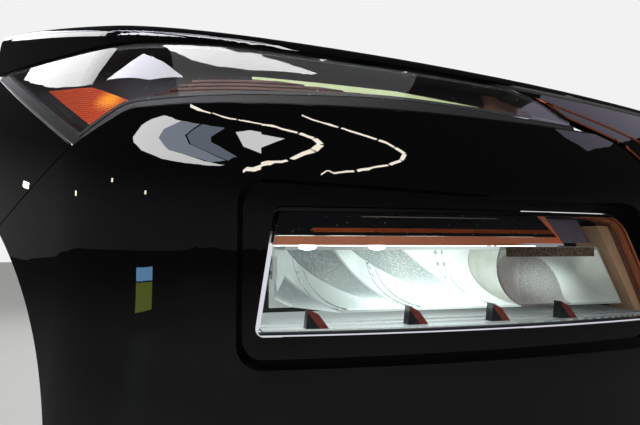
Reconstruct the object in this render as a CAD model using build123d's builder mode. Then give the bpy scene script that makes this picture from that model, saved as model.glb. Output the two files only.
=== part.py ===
from build123d import *

import os
from math import atan, cos, radians, sin

os.makedirs("parts", exist_ok=True)

# Right front corner of a crossover, in millimetres: +X to the car's centre line, -Y forward, +Z up.
# The origin is the middle of the carrier's bolted rear flange.

# Shoulder planes rise towards the rear of the car by this much for each millimetre.
SHOULDER_RISE = 0.13

# Plan of the nose: three arcs that run on from each other, front to side.
FRONT_RADIUS = 1140
CORNER_RADIUS = 237
SIDE_RADIUS = 3000
FRONT_START = 9
FRONT_END = 40
CORNER_END = 84
SIDE_END = 90.5
CORNER_START = (-245.8, -196.4)

# Level of each body section on its shoulder plane, and how far it lies inside the plan: level, inset.
BODY_ROWS = [(-260, 12), (-80, 0), (60, 1), (120, 8), (182, 30), (260, 78)]
# Level of the two bonnet sections on their shoulder planes, and how far each lies inside the plan.
BONNET_ROWS = [(152, 24), (342, 51)]
# Rounded edge of the bonnet, the bevel of what lies under it, and its crown: a slope at one point.
BONNET_ROUND = 16
UNDER_BEVEL = 7
CROWN_RADIUS = 6000
CROWN_POINT = (-270, -100, 184.3)
CROWN_RISE_X = 0.14
CROWN_RISE_Y = 0.3

# Ends of this corner of the car, and of the whole form behind them.
CLOSE_X = 345
CLOSE_Y = 330
INNER_CUT = 165
REAR_CUT = 240
BUMPER_BOTTOM = -178
CLADDING_BOTTOM = -240

# Panels and their gaps.
PAINTED_WALL = 2.5
BUMPER_WALL = 3
SHUT_LEVEL = 182
SHUT_GAP = 4
SEAM_GAP = 1
SEAT_GAP = 0.3
FLANGE_DEPTH = 22

# Wheel arch, seen from the side.
ARCH_CENTRE_Y = 285
ARCH_CENTRE_Z = -280
ARCH_RADIUS = 355
LINER_WALL = 2

# Corner plane: faces the way the corner points, 46 degrees from straight ahead.
CORNER_TURN = 46
# Lamp plane: the chord of the main lamp.
LAMP_SWEEP = 30.5
LAMP_CENTRE = (-71.3, -277.2)

# Upper lamp.
LENS_WALL = 2.5
UPPER_DEPTH = 52
RIM_STEP = 1.2
RIM_BACK = 9
AMBER_DEPTH = 6
BAR_DEPTH = 11
BAR_COUNT = 5
BAR_PITCH = 3.2
BAR_HEIGHT = 2

# Main lamp.
POCKET_WALL = 3
LENS_INSET = 18
RIM_DEPTH = 26
HOUSING_WALL = 3
HOUSING_BACK = 100
LAMP_FRONT = 60
LENS_BOTTOM = -64
LENS_TOP = 32
CHAMBER_START = -168
CHAMBER_TOP = 3
CHAMBER_BOTTOM = -50
CHAMBER_FRONT = 14
CHAMBER_BACK = 62
BLADE_WALL = 2
ROOF_WALL = 3
# Front edge of the blade at the outboard side of each reflector, an arc through three places along
# the lamp, and how far the blade and the scoop beside it lean over towards the back:
# at the top, at half height, at the bottom, lean of the blade, lean of the scoop.
BLADES = [
    (-190, -166, -122, -29, -29),
    (-131, -108, -58, -29, -29),
    (-73, -36, 20, -29, -29),
    (26, 22, 47, 0, 60),
]
CHAMBER_END = (128, 154)
FRAME_WALL = 4
FRAME_TOP = 23
PIVOT_HEIGHT = -15
PIVOT_BACK = 56
PIN_RADIUS = 3
PIN_CLEARANCE = 0.05
BOSS_RADIUS = 6.6
BROW_BOTTOM = 11
BROW_BACK = 43
TRIM_HEIGHT = 7
LEDGE_HEIGHT = 3.2
LEDGE_STEP = 1
# Front of each step of the ledge in the lamp's own direction, from the top step down.
LEDGE_FRONTS = [-20, -8, 60]
# Wedges on the ledge, one before each reflector: places along the lamp, outline and depth.
WEDGE_PLACES = [-146, -63, 13, 81]
WEDGE_OUTLINE = [(-9, 0), (10, 0), (1, 12), (-7, 16)]
WEDGE_RANGE = (-7, 2)

# Carrier.
FLANGE_WIDTH = 160
FLANGE_HEIGHT = 120
FLANGE_WALL = 8
FLANGE_CORNER = 12
PLATE_CORNER = 8
BOLT_SPACING_X = 120
BOLT_SPACING_Z = 80
BOLT_RADIUS = 5.5
PLATE_BACK = 108
PLATE_WALL = 5
ARM_WIDTH = 70
ARM_HEIGHT = 80
ARM_WALL = 5

PLATE_OUTLINE = [(-150, -112), (-150, 84), (-104, 108), (64, 108), (120, 84), (120, -112)]
PLATE_WINDOW = [(-116, -55), (-116, 20), (-46, 20), (-46, -55)]
# Ribs on the back of the plate: places of the upright ones along it, heights of the level ones.
UPRIGHT_RIBS = [-132, 56, 82, 108]
LEVEL_RIBS = [-78, 62]
RIB_WALL = 3
RIB_DEPTH = 14
RIB_MARGIN = 12
SHELF_RANGE = (-104, 64)
SHELF_TOP = 110
SHELF_FRONT = 30
LOW_ARM_RANGE = (-60, 20)
LOW_ARM_FRONT = 90
SIDE_ARM_DEPTH = 45
SIDE_ARM_LOW = 30
SIDE_ARM_HIGH = 55
UPPER_FEET = [(-190, -160), (-70, -235)]
FOOT = 22
STOP_PLACES = [(-100, -168), (0, -235)]
STOP_RADIUS = 12
STOP_REACH = 100
POST_RADIUS = 9
POST_TOP = 142
LUG_PLACES = [(-134, -40), (-134, 14), (80, 14), (105, -40)]
LUG_RADIUS = 8
LINER_INNER = -150
CLADDING_LIP = 24

# Bonnet.
BONNET_WALL = 2.5
BONNET_FRAME_WIDTH = 12
BONNET_FRAME_DROP = 9
BONNET_WINDOWS = [((-130, 70), (120, 230)), ((60, 20), (150, 330))]

# Grille trim.
TRIM_STEP = 1.5
TRIM_DEPTH = 8

# Inside the upper lamp.
BEZEL_DEPTH = 26
BEZEL_WALL = 2.5
GUIDE_DEPTH = 14
BAR_LEFT = -128
BAR_RIGHT = 52
BAR_LOW = 117
BAR_STAGGER = 10

# Levelling frame, its pins and what it carries.
EAR_SIZE = 20
EAR_WALL = 4
RIGHT_EAR = 144
LEFT_PIN = -181
RIGHT_PIN = 151
PIN_LENGTH = 8
PIN_PLAY = 1
LED_WIDTH = 30
LED_DEPTH = 11
SINK_WIDTH = 40
SINK_HEIGHTS = (-38, 22)
SINK_DEPTH = 24
FIN_COUNT = 6
FIN_WALL = 2
SINK_PLATE = 3
FRAME_CORNER = 8
DRIVER_HEIGHT = 18
DRIVER_FRONT = -40
DRIVER_BACK = -94
DRIVER_RANGE = (-60, 40)
MOTOR_RANGE = (-104, -60)
MOTOR_HEIGHTS = (-40, 4)
MOTOR_DEPTH = 38
SOCKET_RANGE = (-92, -72)
SOCKET_HEIGHTS = (-28, -8)
SOCKET_DEPTH = 14

# Bezels of the main lamp.
BROW_LOW_END = 66
BROW_HIGH_END = 42
TRIM_POINT = 74
TRIM_ARM = 9
TRIM_BACK = 7
END_WIDTH = 20
END_STEP = 10
END_TOP = 22
END_BACK = 40

# How deep a joined shape reaches into its neighbour, and a length beyond every piece.
BITE = 1
FAR = 900


def write(piece, name):
    """Label one finished piece and write its file."""
    piece.label = name
    export_step(piece, f"parts/{name}.step")


def tilted_plane(level, rise):
    """Plane through the origin's vertical line at a level, rising towards the rear."""
    tilt = atan(rise)
    return Plane(origin=(0, 0, level), x_dir=(1, 0, 0), z_dir=(0, -sin(tilt), cos(tilt)))


def facing_plane(turn, centre=(0, 0)):
    """Upright plane that faces outwards, turned from straight ahead by an angle."""
    angle = radians(turn)
    return Plane(
        origin=(centre[0], centre[1], 0),
        x_dir=(cos(angle), -sin(angle), 0),
        z_dir=(-sin(angle), -cos(angle), 0),
    )


CORNER_PLANE = facing_plane(CORNER_TURN)
LAMP_PLANE = facing_plane(LAMP_SWEEP, LAMP_CENTRE)


def on_arc(centre, radius, turn):
    """Point of an arc where its tangent has turned by an angle from straight across."""
    angle = radians(turn)
    return (centre[0] - radius * sin(angle), centre[1] - radius * cos(angle))


def arc_centre(start, radius, turn):
    """Centre of the arc that leaves a point in a direction."""
    angle = radians(turn)
    return (start[0] + radius * sin(angle), start[1] + radius * cos(angle))


FRONT_CENTRE = arc_centre(CORNER_START, FRONT_RADIUS, FRONT_END)
CORNER_CENTRE = arc_centre(CORNER_START, CORNER_RADIUS, FRONT_END)
SIDE_START = on_arc(CORNER_CENTRE, CORNER_RADIUS, CORNER_END)
SIDE_CENTRE = arc_centre(SIDE_START, SIDE_RADIUS, CORNER_END)


def plan_path(inset):
    """Closed plan of the nose, moved inwards by an inset, in the open line sketch."""
    front = FRONT_RADIUS - inset
    corner = CORNER_RADIUS - inset
    side = SIDE_RADIUS - inset
    CenterArc(FRONT_CENTRE, front, -90 - FRONT_START, FRONT_START - FRONT_END)
    CenterArc(CORNER_CENTRE, corner, -90 - FRONT_END, FRONT_END - CORNER_END)
    CenterArc(SIDE_CENTRE, side, -90 - CORNER_END, CORNER_END - SIDE_END)
    first = on_arc(FRONT_CENTRE, front, FRONT_START)
    last = on_arc(SIDE_CENTRE, side, SIDE_END)
    Polyline(last, (last[0], CLOSE_Y), (CLOSE_X, CLOSE_Y), (CLOSE_X, first[1]), first)


def nose(depth):
    """Solid of the nose, moved inwards by a depth."""
    with BuildPart() as form:
        for level, inset in BODY_ROWS:
            with BuildSketch(tilted_plane(level, SHOULDER_RISE)):
                with BuildLine():
                    plan_path(inset + depth)
                make_face()
        loft()
    return form.part


def crown(depth, drop, finish_edge):
    """Solid of the bonnet, moved inwards and down, with its front edge finished by a function."""
    upwards = Vector(-CROWN_RISE_X, -CROWN_RISE_Y, 1).normalized()
    centre = Vector(*CROWN_POINT) - upwards * CROWN_RADIUS
    with BuildPart() as form:
        for level, inset in BONNET_ROWS:
            with BuildSketch(tilted_plane(level, SHOULDER_RISE)):
                with BuildLine():
                    plan_path(inset + depth)
                make_face()
        loft(ruled=True)
        with Locations(centre):
            Sphere(CROWN_RADIUS - drop, mode=Mode.INTERSECT)
        top = form.faces().filter_by(GeomType.SPHERE)[0]
        finish_edge(top.edges().filter_by(lambda e: e.center().X < INNER_CUT and e.center().Y < REAR_CUT))
    return form.part


def rounded(edge):
    """Round the outer edge of the bonnet."""
    fillet(edge, BONNET_ROUND)


def bevelled(edge):
    """Bevel the edge of what lies under the bonnet skin."""
    chamfer(edge, UNDER_BEVEL)


def prism(plane, points, radii=0, near=FAR, far=-FAR):
    """Outline with rounded corners, drawn on a plane and carried from far to near of it."""
    with BuildPart() as cutter:
        with BuildSketch(plane.offset(far)):
            with BuildLine():
                FilletPolyline(*points, radius=radii, close=True)
            make_face()
        extrude(amount=near - far)
    return cutter.part


def block(low, high):
    """Upright box between two corners."""
    with BuildPart() as box:
        with Locations(((low[0] + high[0]) / 2, (low[1] + high[1]) / 2, (low[2] + high[2]) / 2)):
            Box(high[0] - low[0], high[1] - low[1], high[2] - low[2])
    return box.part


def below_level(level):
    """Everything under a shoulder plane."""
    with BuildPart() as space:
        with BuildSketch(tilted_plane(level, SHOULDER_RISE)):
            Rectangle(2 * FAR, 2 * FAR)
        extrude(amount=-FAR)
    return space.part


def arch(radius):
    """Round of the wheel arch, carried across the whole corner."""
    with BuildPart() as wheel_space:
        with BuildSketch(Plane.YZ.offset(-FAR)):
            with Locations((ARCH_CENTRE_Y, ARCH_CENTRE_Z)):
                Circle(radius)
        extrude(amount=2 * FAR)
    return wheel_space.part


CORNER_BOX = block((-FAR, -FAR, -FAR), (INNER_CUT, REAR_CUT, FAR))

# Outlines on the corner plane: distance to the centre line, height.
LENS_LOW = [(-181, 90), (-138, 113), (60, 119.5), (243, 108)]
BUMPER_HIGH = [(-188, 83), (-132, 108.5), (60, 109.5), (214, 105)]
SEAM_LINE = [(-188, 83), (-300, 22)]
WING_LENS_LINE = [(-188, 83), (-375, 205)]
BUMPER_OUTLINE = [*BUMPER_HIGH, (600, 92), (600, -400), (-600, -400), (-600, -141), SEAM_LINE[1]]
BUMPER_RADII = [0, 42, 0, 0, 0, 0, 0, 0, 0]

LENS_TIP = [(224, 118), (205, 130), (178, 139)]
LENS_HIGH = [(170, 300), (-480, 300), (-480, 288)]
UPPER_RADII = [2, 45, 600, 3, 0, 0, 0, 0, 0, 0]
UPPER_OUTLINE = [*LENS_LOW, *LENS_TIP, *LENS_HIGH]
# Rim of the upper lamp's housing: along the wing and the bumper, then back just inside the lens.
RIM_LOW = [(-479, 274.3), (-187, 84.2), (-132, 109.7), (60, 110.7), (214, 106.2), (236, 105.5)]
RIM_HIGH = [(236, 109.5), (60, 121), (-138, 115), (-180, 92), (-478, 290)]
AMBER_OUTLINE = [(-244, 149), (-178, 135), (-134, 115), (-170, 98)]
GUIDE_OUTLINE = [(-42, 134), (75, 122), (198, 113), (200, 115), (75, 130), (-42, 136)]

# Outlines on the lamp plane: distance along the lamp, height.
LENS_OUTLINE = [(-192, LENS_BOTTOM), (-178, LENS_TOP), (140.4, LENS_TOP), (192.3, LENS_BOTTOM)]
LENS_RADII = [6, 6, 35, 8]
POCKET_OUTLINE = [(-208, -84), (-208, 52), (-10, 42.5), (147, 40.5), (214, -84)]
POCKET_RADII = [18, 18, 500, 38, 18]
GRILLE_EDGE = [(60, 128), (77, 116), (140, 96), (172, 72), (236, -60), (262, -260)]
GRILLE_SPACE = [*GRILLE_EDGE, (600, -260), (600, 128)]
GRILLE_RADII = [0, 12, 60, 25, 40, 0, 0, 0]
HEADER_EDGE = [(30, 139), (50, 133.4), (131, 112.9), (168, 101.9), (290, 74)]
TRIM_UPPER = [(50, 133), (131, 112.5), (168, 101.5), (200, 84), (262, -60), (290, -260)]
TRIM_RADII = [0, 60, 60, 40, 40, 0, 0, 40, 25, 60, 12, 0]


def grown(outline, radii, amount):
    """Face-on outline of the lamp, moved outwards by an amount, as a sketch on its own plane."""
    with BuildSketch() as shape:
        with BuildLine():
            FilletPolyline(*outline, radius=radii, close=True)
        make_face()
        offset(amount=amount, kind=Kind.INTERSECTION)
    return shape.sketch


def lamp_prism(outline, radii, amount=0, near=FAR, far=-FAR):
    """Outline on the lamp plane, grown by an amount and carried from far to near of it."""
    with BuildPart() as cutter:
        with BuildSketch(LAMP_PLANE.offset(far)):
            add(grown(outline, radii, amount))
        extrude(amount=near - far)
    return cutter.part


def ahead(plane, points, radii=0):
    """Outline carried only over the outer side of the nose, clear of its closed rear."""
    return prism(plane, points, radii, FAR, 0 if plane is CORNER_PLANE else -HOUSING_BACK)


def cut_to(piece, *spaces):
    """Piece kept only inside every one of some spaces."""
    with BuildPart() as kept:
        add(piece)
        for space in spaces:
            add(space, mode=Mode.INTERSECT)
    return kept.part


def without(piece, *spaces):
    """Piece with some spaces cut away."""
    with BuildPart() as left:
        add(piece)
        for space in spaces:
            add(space, mode=Mode.SUBTRACT)
    return left.part


def joined(*pieces):
    """One solid of several that touch."""
    with BuildPart() as whole:
        add(pieces)
    return whole.part


def make_wing():
    """Front end of the wing, between the lamp's tail, the bonnet and the wheel arch."""
    outline = [
        (SEAM_LINE[0][0] - SEAM_GAP, SEAM_LINE[0][1] + SEAM_GAP),
        (SEAM_LINE[1][0] - SEAM_GAP, SEAM_LINE[1][1] + SEAM_GAP),
        (-500, -60),
        (-560, 260),
        WING_LENS_LINE[1],
    ]
    space = cut_to(prism(CORNER_PLANE, outline), CORNER_BOX)
    space = without(space, arch(ARCH_RADIUS))
    space = cut_to(space, below_level(SHUT_LEVEL - SHUT_GAP))
    solid = cut_to(nose(0), space)
    core = without(space, arch(ARCH_RADIUS + PAINTED_WALL))
    core = cut_to(core, below_level(SHUT_LEVEL - SHUT_GAP - PAINTED_WALL))
    core = cut_to(core, nose(PAINTED_WALL))
    return without(solid, core, nose(FLANGE_DEPTH))


def make_bumper():
    """Corner of the bumper with the recess of the main lamp."""
    low_outline = [(u, v - BUMPER_WALL) for u, v in BUMPER_OUTLINE]
    grille_space = prism(LAMP_PLANE, GRILLE_SPACE, GRILLE_RADII)
    space = cut_to(prism(CORNER_PLANE, BUMPER_OUTLINE, BUMPER_RADII), CORNER_BOX)
    space = cut_to(space, block((-FAR, -FAR, BUMPER_BOTTOM), (FAR, FAR, FAR)))
    space = without(space, arch(ARCH_RADIUS), grille_space)
    low_space = without(prism(CORNER_PLANE, low_outline, BUMPER_RADII), arch(ARCH_RADIUS + BUMPER_WALL))
    pocket_inner = lamp_prism(POCKET_OUTLINE, POCKET_RADII)
    pocket_outer = lamp_prism(POCKET_OUTLINE, POCKET_RADII, POCKET_WALL, FAR, -FAR)
    lens_hole = lamp_prism(LENS_OUTLINE, LENS_RADII, SEAM_GAP)
    floor = FLANGE_DEPTH - POCKET_WALL
    core = cut_to(nose(BUMPER_WALL), low_space)
    skin = without(cut_to(nose(0), space), without(core, pocket_outer), nose(FLANGE_DEPTH))
    hollow = without(pocket_inner, nose(floor))
    return without(skin, hollow, lens_hole)


def make_header():
    """Painted panel between the grille trim and the bonnet."""
    band = [*HEADER_EDGE, (400, 400), (20, 400)]
    space = cut_to(prism(LAMP_PLANE, band), below_level(SHUT_LEVEL - SHUT_GAP), CORNER_BOX)
    space = without(space, prism(CORNER_PLANE, UPPER_OUTLINE, UPPER_RADII))
    return without(cut_to(nose(0), space), nose(PAINTED_WALL))


def make_grille_trim():
    """Bright bar that frames the grille and turns down beside the lamp."""
    space = prism(LAMP_PLANE, [*TRIM_UPPER, *reversed(GRILLE_EDGE)], TRIM_RADII)
    space = cut_to(space, block((-FAR, -FAR, BUMPER_BOTTOM), (INNER_CUT, FAR, FAR)))
    space = without(space, prism(CORNER_PLANE, UPPER_OUTLINE, UPPER_RADII))
    return without(cut_to(nose(-TRIM_STEP), space), nose(TRIM_DEPTH))


def make_bonnet():
    """Front corner of the bonnet skin, with its turned lip."""
    space = without(CORNER_BOX, below_level(SHUT_LEVEL))
    return without(cut_to(crown(0, 0, rounded), space), crown(BONNET_WALL, BONNET_WALL, bevelled))


def make_bonnet_frame():
    """Pressed frame under the bonnet skin, with two lightening windows."""
    gap = BONNET_WALL + SEAT_GAP
    space = without(CORNER_BOX, below_level(SHUT_LEVEL + BONNET_WALL))
    solid = cut_to(crown(gap, gap, bevelled), space)
    windows = [
        block(
            (centre[0] - size[0] / 2, centre[1] - size[1] / 2, -FAR),
            (centre[0] + size[0] / 2, centre[1] + size[1] / 2, FAR),
        )
        for centre, size in BONNET_WINDOWS
    ]
    return without(solid, crown(BONNET_FRAME_WIDTH, BONNET_FRAME_DROP, bevelled), *windows)


def make_bump_stop(place):
    """Rubber stop that carries the bonnet, cut to the slope of its frame."""
    with BuildPart() as stop:
        with BuildSketch(Plane.XY.offset(POST_TOP)):
            with Locations(place):
                Circle(STOP_RADIUS)
        extrude(amount=STOP_REACH)
    return cut_to(stop.part, crown(BONNET_FRAME_WIDTH, BONNET_FRAME_DROP + SEAT_GAP, bevelled))


def upper_prism(shrink, level):
    """Space of the upper lamp, shrunk all round and closed under the bonnet's gap."""
    with BuildPart() as space:
        with BuildSketch(CORNER_PLANE.offset(-FAR)):
            with BuildLine():
                FilletPolyline(*UPPER_OUTLINE, radius=UPPER_RADII, close=True)
            make_face()
            if shrink:
                offset(amount=-shrink, kind=Kind.INTERSECTION)
        extrude(amount=2 * FAR)
        add(below_level(level - shrink), mode=Mode.INTERSECT)
        add(CORNER_BOX, mode=Mode.INTERSECT)
    return space.part


def make_upper_lamp():
    """Slim upper lamp: lens, housing, inner bezel, amber reflector, ribs and light guide."""
    level = SHUT_LEVEL - SHUT_GAP
    space = upper_prism(0, level)
    lens = without(cut_to(nose(0), space), nose(LENS_WALL))
    front = LENS_WALL + SEAT_GAP
    back = UPPER_DEPTH + HOUSING_WALL
    inner = upper_prism(HOUSING_WALL, level)
    shell = without(cut_to(nose(front), space), nose(back))
    feet = [
        block((x - FOOT / 2, y - FOOT / 2, SHELF_TOP), (x + FOOT / 2, y + FOOT / 2, SHELF_TOP + FOOT))
        for x, y in UPPER_FEET
    ]
    rim_space = cut_to(prism(CORNER_PLANE, [*RIM_LOW, *RIM_HIGH]), CORNER_BOX, below_level(level))
    lens_space = without(upper_prism(-SEAT_GAP, level + SEAT_GAP), nose(front))
    rim = without(cut_to(nose(RIM_STEP), rim_space), nose(RIM_BACK), lens_space)
    housing = without(joined(shell, rim, *feet), without(inner, nose(UPPER_DEPTH)))
    snug = upper_prism(HOUSING_WALL + SEAT_GAP, level)
    bezel = without(cut_to(nose(BEZEL_DEPTH), snug), nose(BEZEL_DEPTH + BEZEL_WALL))
    seat = nose(BEZEL_DEPTH - SEAT_GAP)
    amber = without(cut_to(nose(AMBER_DEPTH), ahead(CORNER_PLANE, AMBER_OUTLINE), snug), seat)
    ribs = [
        ahead(CORNER_PLANE, [(left, low), (right, low), (right, low + BAR_HEIGHT), (left, low + BAR_HEIGHT)])
        for left, right, low in rib_rows()
    ]
    guide_space = ahead(CORNER_PLANE, GUIDE_OUTLINE)
    guide_low = GUIDE_OUTLINE[:3]
    above_guide = ahead(CORNER_PLANE, [*guide_low, (guide_low[-1][0], FAR), (guide_low[0][0], FAR)])
    bars = without(cut_to(nose(BAR_DEPTH), joined(*ribs), snug), seat, above_guide)
    guide = without(cut_to(nose(GUIDE_DEPTH), guide_space, snug), seat)
    write(lens, "upper_lens")
    write(housing, "upper_housing")
    write(bezel, "upper_bezel")
    write(amber, "amber_reflector")
    write(bars, "light_ribs")
    write(guide, "light_guide")


def rib_rows():
    """Left end, right end and lowest height of each light rib."""
    rows = []
    for number in range(BAR_COUNT):
        rows.append((BAR_LEFT + number * BAR_STAGGER, BAR_RIGHT, BAR_LOW + number * BAR_PITCH))
    return rows


def lamp_box(a_range, z_range, b_range):
    """Box in the main lamp's own directions: along it, upwards and out of it."""
    (left, right), (low, high) = a_range, z_range
    return prism(
        LAMP_PLANE, [(left, low), (right, low), (right, high), (left, high)], 0, b_range[1], b_range[0]
    )


def lamp_pin(start, end, radius):
    """Round pin on the levelling axis, between two places along the main lamp."""
    with BuildPart() as pin:
        base = LAMP_PLANE.from_local_coords(Vector(start, PIVOT_HEIGHT, -PIVOT_BACK))
        with BuildSketch(Plane(origin=base, x_dir=(0, 0, 1), z_dir=LAMP_PLANE.x_dir)):
            Circle(radius)
        extrude(amount=end - start)
    return pin.part


def lamp_lug(place):
    """Round lug out of the main housing's back, up to the carrier's plate."""
    with BuildPart() as lug:
        with BuildSketch(LAMP_PLANE.offset(-PLATE_BACK)):
            with Locations(place):
                Circle(LUG_RADIUS)
        extrude(amount=PLATE_BACK - HOUSING_BACK)
    return lug.part


def end_line(height):
    """How far along the lamp its slanted inner end lies at a height."""
    low, high = LENS_OUTLINE[3], LENS_OUTLINE[2]
    return low[0] + (high[0] - low[0]) * (height - low[1]) / (high[1] - low[1])


def start_line(height):
    """How far along the lamp its outboard end lies at a height."""
    low, high = LENS_OUTLINE[0], LENS_OUTLINE[1]
    return low[0] + (high[0] - low[0]) * (height - low[1]) / (high[1] - low[1])


def make_main_shell():
    """Lens and housing of the main lamp, with the bosses that take the levelling pins."""
    rim_back = LENS_INSET + RIM_DEPTH
    outer = lamp_prism(LENS_OUTLINE, LENS_RADII, 0, FAR, -HOUSING_BACK)
    lens_block = without(cut_to(nose(LENS_INSET), outer), nose(rim_back))
    hollow = cut_to(nose(LENS_INSET + LENS_WALL), lamp_prism(LENS_OUTLINE, LENS_RADII, -LENS_WALL))
    write(without(lens_block, hollow), "main_lens")

    behind_lens = nose(rim_back + SEAT_GAP)
    shell = cut_to(lamp_prism(LENS_OUTLINE, LENS_RADII, 0, LAMP_FRONT, -HOUSING_BACK), behind_lens)
    cavity = lamp_prism(LENS_OUTLINE, LENS_RADII, -HOUSING_WALL, LAMP_FRONT, HOUSING_WALL - HOUSING_BACK)
    bosses = [
        lamp_pin(start_line(PIVOT_HEIGHT), LEFT_PIN + PIN_LENGTH, BOSS_RADIUS),
        lamp_pin(RIGHT_PIN, end_line(PIVOT_HEIGHT) - BITE, BOSS_RADIUS),
    ]
    bore = PIN_RADIUS + PIN_CLEARANCE
    bores = [
        lamp_pin(LEFT_PIN - PIN_PLAY, LEFT_PIN + 2 * PIN_LENGTH, bore),
        lamp_pin(RIGHT_PIN - 2 * PIN_LENGTH, RIGHT_PIN + PIN_LENGTH + PIN_PLAY, bore),
    ]
    lugs = [lamp_lug(place) for place in LUG_PLACES]
    write(without(joined(without(shell, cavity), *bosses, *lugs), *bores), "main_housing")


def make_main_bezels():
    """What frames the reflectors behind the main lens: brow, trim, ledge and end panel."""
    inner_wall = HOUSING_WALL + SEAT_GAP
    clear = lamp_prism(LENS_OUTLINE, LENS_RADII, -inner_wall)
    front = nose(LENS_INSET + LENS_WALL + SEAT_GAP)
    brow_points = [
        (-FAR, BROW_BOTTOM), (BROW_LOW_END, BROW_BOTTOM), (BROW_HIGH_END, LENS_TOP), (-FAR, LENS_TOP),
    ]
    write(cut_to(prism(LAMP_PLANE, brow_points, 0, LAMP_FRONT, -BROW_BACK), clear, front), "brow_bezel")

    trim_top = BROW_BOTTOM - SEAT_GAP
    trim_low = trim_top - TRIM_HEIGHT
    brow_lean = (BROW_LOW_END - BROW_HIGH_END) / (LENS_TOP - BROW_BOTTOM)
    trim_corner = BROW_LOW_END + SEAT_GAP * (1 + brow_lean)
    trim_points = [
        (-FAR, trim_low), (TRIM_POINT, trim_low), (BROW_HIGH_END + TRIM_ARM, LENS_TOP),
        (BROW_HIGH_END + SEAT_GAP, LENS_TOP), (trim_corner, trim_top), (-FAR, trim_top),
    ]
    write(cut_to(prism(LAMP_PLANE, trim_points, 0, LAMP_FRONT, -TRIM_BACK), clear, front), "brow_trim")

    ledge_top = LENS_BOTTOM + inner_wall + LEDGE_HEIGHT
    steps = [
        lamp_box((-FAR, FAR), (LENS_BOTTOM, ledge_top - number * LEDGE_STEP), (-BROW_BACK, step_front))
        for number, step_front in enumerate(LEDGE_FRONTS)
    ]
    wedge_foot = ledge_top - len(LEDGE_FRONTS) * LEDGE_STEP
    wedges = [
        prism(LAMP_PLANE, [(place + a, wedge_foot + z) for a, z in WEDGE_OUTLINE], 0, *reversed(WEDGE_RANGE))
        for place in WEDGE_PLACES
    ]
    write(cut_to(joined(*steps, *wedges), clear, front), "lamp_ledge")

    end_points = [
        (end_line(LENS_TOP) - END_WIDTH, END_TOP), (end_line(LENS_BOTTOM) - END_WIDTH, LENS_BOTTOM),
        (FAR, LENS_BOTTOM), (FAR, END_TOP),
    ]
    panel = cut_to(
        prism(LAMP_PLANE, end_points, 0, LAMP_FRONT, -END_BACK), clear, nose(LENS_INSET + END_STEP)
    )
    low_cut = lamp_box((-FAR, FAR), (LENS_BOTTOM, ledge_top + SEAT_GAP), (-FAR, FAR))
    write(without(panel, low_cut, prism(LAMP_PLANE, grown_trim(trim_points))), "end_panel")


def grown_trim(points):
    """Outline of the trim arm with its seat gap, used to cut what lies beside it."""
    return [(a + (SEAT_GAP if a > 0 else 0), z - (SEAT_GAP if z < LENS_TOP else 0)) for a, z in points]


def beside_blade(number, lean, wall=0):
    """Everything inboard of one blade's front edge, leaning over towards the back."""
    top, middle, bottom = (place + wall for place in BLADES[number][:3])
    half = (CHAMBER_TOP + CHAMBER_BOTTOM) / 2
    backwards = LAMP_PLANE.x_dir * lean - LAMP_PLANE.z_dir * (CHAMBER_BACK - CHAMBER_FRONT)
    with BuildPart() as space:
        with BuildSketch(LAMP_PLANE.offset(-CHAMBER_FRONT)):
            with BuildLine():
                ThreePointArc((top, CHAMBER_TOP), (middle, half), (bottom, CHAMBER_BOTTOM))
                Polyline((bottom, CHAMBER_BOTTOM), (FAR, CHAMBER_BOTTOM), (FAR, CHAMBER_TOP))
                Line((FAR, CHAMBER_TOP), (top, CHAMBER_TOP))
            make_face()
        extrude(amount=2 * backwards.length, dir=backwards, both=True)
    return space.part


def make_reflector(number):
    """One bright reflector: a leaning, curved blade and the round scoop beside it."""
    blade_lean, scoop_lean = BLADES[number][3:]
    corners = [
        (CHAMBER_START, CHAMBER_TOP), (CHAMBER_END[0], CHAMBER_TOP), (CHAMBER_END[1], CHAMBER_BOTTOM),
        (CHAMBER_START, CHAMBER_BOTTOM),
    ]
    chambers = prism(LAMP_PLANE, corners, 0, -CHAMBER_FRONT, -CHAMBER_BACK)
    body = cut_to(chambers, beside_blade(number, blade_lean))
    if number + 1 < len(BLADES):
        body = without(body, beside_blade(number + 1, BLADES[number + 1][3], -SEAT_GAP))
    with BuildPart() as scoop:
        base = LAMP_PLANE.from_local_coords(Vector(-FAR, 0, -CHAMBER_FRONT))
        top = CHAMBER_TOP - ROOF_WALL
        bottom = CHAMBER_BOTTOM + BLADE_WALL
        deep = CHAMBER_BACK - CHAMBER_FRONT - BLADE_WALL
        with BuildSketch(Plane(origin=base, x_dir=-LAMP_PLANE.z_dir, z_dir=LAMP_PLANE.x_dir)):
            with BuildLine():
                Polyline((0, bottom), (-FAR, bottom), (-FAR, top), (deep, top))
                RadiusArc((0, bottom), (deep, top), bottom - top)
            make_face()
        extrude(amount=2 * FAR)
    inside = cut_to(scoop.part, beside_blade(number, scoop_lean, BLADE_WALL))
    write(without(body, inside), f"reflector_{number + 1}")


def chamber_middle(number):
    """How far along the lamp the middle of one chamber's roof lies."""
    tops = [CHAMBER_START, *(row[0] for row in BLADES[1:]), CHAMBER_END[0]]
    return (tops[number] + tops[number + 1]) / 2


def make_led_unit(number):
    """Light source on the roof of one chamber, in front of the frame."""
    middle = chamber_middle(number)
    unit = lamp_box(
        (middle - LED_WIDTH / 2, middle + LED_WIDTH / 2),
        (CHAMBER_TOP, FRAME_TOP),
        (-CHAMBER_BACK, LED_DEPTH - CHAMBER_BACK),
    )
    write(unit, f"led_unit_{number + 1}")


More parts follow.
